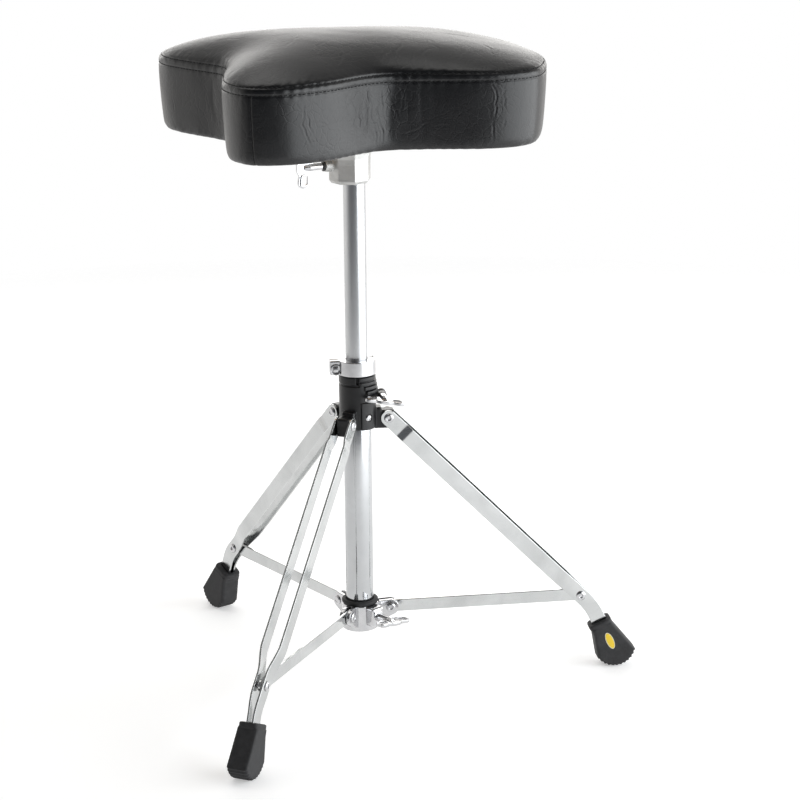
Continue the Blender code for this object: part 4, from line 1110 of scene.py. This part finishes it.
def swell(made, most):
    """Fills the cover: cloth under pressure, held at the board and sewn down at the edge seams."""
    before = read_points(made.data)
    share, _ = on_seat(before)
    held = made.vertex_groups.new(name="held")
    for i, (point, out) in enumerate(zip(before, share)):
        under = point[2] < SEAT_LOW.z + 0.003 or (point[2] < BOARD_TOP + 0.004 and out < 0.95)
        seam = out > 0.93 and LOWER_STITCHES - 0.003 < point[2] < UPPER_STITCHES + 0.003
        if under or seam:
            held.add([i], 1.0 if under else 0.85, "REPLACE")
    cloth = made.modifiers.new("cloth", "CLOTH")
    settings = cloth.settings
    settings.quality = 5
    settings.mass = 0.3
    settings.tension_stiffness = settings.compression_stiffness = 12
    settings.shear_stiffness = 6
    settings.bending_stiffness = 0.6
    settings.use_pressure = True
    settings.uniform_pressure_force = 4
    settings.vertex_group_mass = "held"
    settings.effector_weights.gravity = 0
    cloth.collision_settings.use_collision = False
    cloth.point_cache.frame_start, cloth.point_cache.frame_end = 1, 20
    scene = bpy.context.scene
    for number in range(1, 21):
        scene.frame_set(number)
    graph = bpy.context.evaluated_depsgraph_get()
    after = read_points(made.evaluated_get(graph).data)
    made.modifiers.remove(cloth)
    scene.frame_set(1)
    shift = after - before
    length = np.linalg.norm(shift, axis=1, keepdims=True)
    set_coords(made.data, before + shift * np.minimum(1, most / np.maximum(length, 1e-9)))


def crease(at, height, start, end, depth, width, wander, seed):
    """How far a crease from start to end moves points with these flat coordinates in or out."""
    start, end = np.array(start), np.array(end)
    line = end - start
    length = np.linalg.norm(line)
    line = line / length
    u = (at - start[0]) * line[0] + (height - start[1]) * line[1]
    v = -(at - start[0]) * line[1] + (height - start[1]) * line[0]
    near = np.nonzero((u > 0) & (u < length) & (abs(v) < wander * 2 + width * 5))[0]
    out = np.zeros(len(at))
    if not len(near):
        return out
    u, v = u[near], v[near]
    steps = np.linspace(0, length, 40)
    bends = [noise.noise(Vector((s / 0.016, seed * 7.3, 0.5))) * 1.4
             + noise.noise(Vector((s / 0.006, seed * 3.1, 9.5))) * 0.45 for s in steps]
    v = v - wander * np.interp(u, steps, bends)
    strength = [0.55 + 0.9 * noise.noise(Vector((s / 0.012, seed * 5.7, 4.5))) for s in steps]
    fade = np.interp(u, steps, strength) * np.sqrt(np.clip(np.sin(math.pi * u / length), 0, 1))
    out[near] = depth * fade * (0.75 * np.exp(-((v - 1.7 * width) / width) ** 2)
                                - np.exp(-(v / width) ** 2)
                                + 0.4 * np.exp(-((v + 1.9 * width) / width) ** 2))
    return out


# Creases on the flanks: direction and height where each starts and ends, and its depth in mm.
FLANK_CREASES = (
    (-36.5, 0.634, -34.5, 0.590, 0.55), (-34.2, 0.622, -33.0, 0.584, 0.40),
    (-33.8, 0.612, -36.4, 0.588, 0.30),
    (-19.0, 0.622, -14.5, 0.586, 0.45), (-13.5, 0.638, -9.0, 0.582, 0.80), (-9.5, 0.628, -7.4, 0.580, 0.60),
    (-5.0, 0.634, -6.4, 0.596, 0.55), (-3.5, 0.626, 1.0, 0.602, 0.40), (-1.0, 0.622, -4.4, 0.588, 0.45),
    (2.2, 0.636, 3.0, 0.610, 0.35), (4.5, 0.596, 13.0, 0.599, 0.45), (9.0, 0.602, 20.5, 0.596, 0.40),
    (26.0, 0.600, 28.0, 0.584, 0.30), (30.8, 0.638, 32.4, 0.604, 0.65), (32.6, 0.616, 30.6, 0.582, 0.85),
    (33.4, 0.634, 34.0, 0.612, 0.40), (34.4, 0.604, 32.8, 0.586, 0.35), (47.0, 0.626, 49.0, 0.600, 0.25),
    (-62.0, 0.624, -63.5, 0.594, 0.25), (-72.0, 0.612, -74.0, 0.586, 0.30), (80.0, 0.628, 82.0, 0.596, 0.30))
# Creases on the crown, from the column: (x, y) of each end, and its depth in mm.
CROWN_CREASES = (
    ((0.060, 0.030), (0.092, 0.010), 0.35), ((0.068, 0.012), (0.100, -0.010), 0.30),
    ((0.082, 0.045), (0.104, 0.020), 0.30), ((0.050, 0.060), (0.085, 0.052), 0.25),
    ((0.088, 0.080), (0.116, 0.062), 0.30), ((0.070, 0.110), (0.108, 0.104), 0.28),
    ((0.030, -0.060), (0.058, -0.090), 0.25), ((0.052, -0.048), (0.090, -0.074), 0.30),
    ((0.086, -0.040), (0.112, -0.062), 0.30), ((0.012, 0.086), (0.036, 0.120), 0.25),
    ((-0.030, 0.040), (-0.070, 0.062), 0.25), ((-0.056, -0.030), (-0.094, -0.058), 0.28),
    ((-0.078, 0.084), (-0.110, 0.070), 0.30), ((-0.020, -0.096), (-0.050, -0.112), 0.25))


def tailor(mesh):
    """Presses the stitch lines, side seams and creases into the finely divided cover."""
    coords, normals = read_points(mesh), read_points(mesh, "normal")
    local = coords - np.array(COLUMN)
    share, along = on_seat(local)
    height = local[:, 2]
    side = np.clip((share - 0.90) / 0.06, 0, 1)
    push = np.zeros(len(coords))
    uneven = [noise.noise(Vector(p) * 17.0) * 0.75 + noise.noise(Vector(p) * 44.0) * 0.25 for p in local]
    push += 0.0007 * np.array(uneven)
    for line, depth in ((LOWER_STITCHES, 0.00075), (UPPER_STITCHES, 0.00060)):
        distance = (height - line) / 0.0011
        push -= side * depth * np.exp(-distance ** 2)
        pull = np.exp(-((height - line) / 0.0042) ** 2)
        wave = np.sin(along / 0.0105 * math.tau + 2.0 * np.sin(along * 61))
        strength = 0.5 + 0.5 * np.sin(along * 37 + 1.3)
        push += side * pull * wave * strength * 0.00022
    band = np.exp(-((height - (LOWER_STITCHES + UPPER_STITCHES) / 2) / 0.0032) ** 2)
    push += side * band * 0.00035
    for degrees in (SIDE_SEAM, SIDE_SEAM + 180):
        across = (along - along_at(degrees)) / 0.0010
        below = 1 / (1 + np.exp((height - LOWER_STITCHES) / 0.0008))
        push -= side * below * 0.0008 * np.exp(-across ** 2)
    seed = 0
    for start_angle, start_height, end_angle, end_height, depth in FLANK_CREASES:
        for mirror in (False, True):
            seed += 1
            if mirror and seed % 3 == 0:
                continue
            angles = [180 - a + 1.5 * math.sin(seed) if mirror else a for a in (start_angle, end_angle)]
            start, end = ((along_at(a), z) for a, z in zip(angles, (start_height, end_height)))
            push += side * crease(along, height, start, end, depth / 1500, 0.0009, 0.0044, seed)
    top = np.clip((0.95 - share) / 0.08, 0, 1) * (height > UPPER_STITCHES)
    for start, end, depth in CROWN_CREASES:
        seed += 1
        push += top * crease(local[:, 0], local[:, 1], start, end, depth / 1600, 0.0016, 0.0040, seed)
    set_coords(mesh, coords + normals * push[:, None])


def stitch_line(points_at, length, radius):
    """Thread loops laid on the cover, each a little bowed bar that dips in at its ends."""
    bm = bmesh.new()
    for start, direction, out in points_at:
        across = direction.cross(out).normalized()
        rings = []
        for t, lift in ((-1.0, -0.9), (-0.86, -0.1), (-0.5, 0.25), (0.0, 0.35), (0.5, 0.25),
                        (0.86, -0.1), (1.0, -0.9)):
            middle = start + direction * (t * length / 2) + out * (lift * radius)
            rings.append([bm.verts.new(middle + (across * math.cos(a) + out * math.sin(a)) * radius)
                          for a in (math.tau * k / 6 for k in range(6))])
        for low, high in zip(rings, rings[1:]):
            for k in range(6):
                bm.faces.new((low[k], low[(k + 1) % 6], high[(k + 1) % 6], high[k]))
        bm.faces.new(rings[0][::-1])
        bm.faces.new(rings[-1])
    return mesh_from(bm)


def stitches(cover, height, pitch=0.0046, length=0.0034, radius=0.00042):
    """One row of stitches along the edge at a height."""
    tree = BVHTree.FromPolygons([v.co for v in cover.vertices], [p.vertices for p in cover.polygons])
    count = int(EDGE_LENGTH / pitch)
    places = []
    for i in range(count):
        along = EDGE_LENGTH * i / count
        hits = []
        for step in (-0.0004, 0.0004):
            where = (along + step) % EDGE_LENGTH
            x, y = (np.interp(where, CLOSED_ALONG, axis) for axis in (CLOSED_X, CLOSED_Y))
            outward = Vector((x, y, 0)).normalized()
            origin = COLUMN + Vector((x, y, 0)) + outward * 0.03 + UP * height
            hits.append(tree.ray_cast(origin, -outward, 0.08))
        if any(hit[0] is None for hit in hits):
            continue
        direction = (hits[1][0] - hits[0][0]).normalized()
        out = (hits[0][1] + hits[1][1]).normalized()
        places.append(((hits[0][0] + hits[1][0]) / 2, direction, out))
    return stitch_line(places, length, radius)


def seam_shade_line(cover, degrees, radius=0.00045):
    """A dark rod laid down a side seam: painted shade in the seam's groove, in the thread finish."""
    tree = BVHTree.FromPolygons([v.co for v in cover.vertices], [p.vertices for p in cover.polygons])
    angle = math.radians(degrees)
    outward = Vector((math.cos(angle), math.sin(angle), 0))
    across = outward.cross(UP)
    rings = []
    for i in range(60):
        height = mixed(SEAT_LOW.z + 0.0012, LOWER_STITCHES - 0.0004, i / 59)
        hit = tree.ray_cast(COLUMN + outward * 0.25 + UP * height, -outward, 0.2)[0]
        rings.append([hit + (across * math.cos(a) + outward * math.sin(a) * 0.8) * radius
                      for a in (math.tau * k / 8 for k in range(8))])
    return loft(rings)


def build_cushion():
    cover = linked("seat_cover", moved(cushion_form(), Matrix.Translation(COLUMN)))
    remesh = cover.modifiers.new("remesh", "REMESH")
    remesh.mode = "VOXEL"
    remesh.voxel_size = 0.0042
    applied(cover)
    cover.data.transform(Matrix.Translation(-COLUMN))
    swell(cover, 0.0022)
    cover.data.transform(Matrix.Translation(COLUMN))
    divide = cover.modifiers.new("divide", "SUBSURF")
    divide.levels = divide.render_levels = 2
    applied(cover)
    tailor(cover.data)
    cover.data.materials.clear()
    cover.data.materials.append(VINYL[1])
    cover.data.shade_smooth()
    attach(cover, "seat")
    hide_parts("seat_cushion")
    lines = {"lower_stitches": stitches(cover.data, LOWER_STITCHES),
             "upper_stitches": stitches(cover.data, UPPER_STITCHES),
             "front_seam_shade_line": seam_shade_line(cover.data, SIDE_SEAM),
             "back_seam_shade_line": seam_shade_line(cover.data, SIDE_SEAM + 180)}
    # The two seam lines are dark rods: painted shade in the side seams' grooves.
    for name, mesh in lines.items():
        made = linked(name, mesh)
        made.data.materials.append(THREAD_AND_SEAM_SHADE[1])
        made.data.shade_smooth()
        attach(made, "seat")


def build_board():
    edge = seat_edge(8)
    low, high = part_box("seat_board")
    scale = 1 - 0.0165 / SEAT_REACH
    outline = [[(scale * p.x, scale * p.y, z) for p in edge] for z in (low.z, high.z)]
    holes = [rod(0.0026, (x, y, 0.5), (x, y, low.z + 0.010), 24) for x, y in SEAT_SCREW_PLACES]
    show("seat_board", cut(loft(outline), *holes), "seat", PLYWOOD, edge=0.0006)


build_tubes()
build_wing_bolts()
build_top_hub()
build_lock()
build_lower_hub()
for leg in (1, 2, 3):
    build_leg(leg)
    build_foot(leg)
    build_brace(leg)
build_bracket()
build_board()
build_cushion()
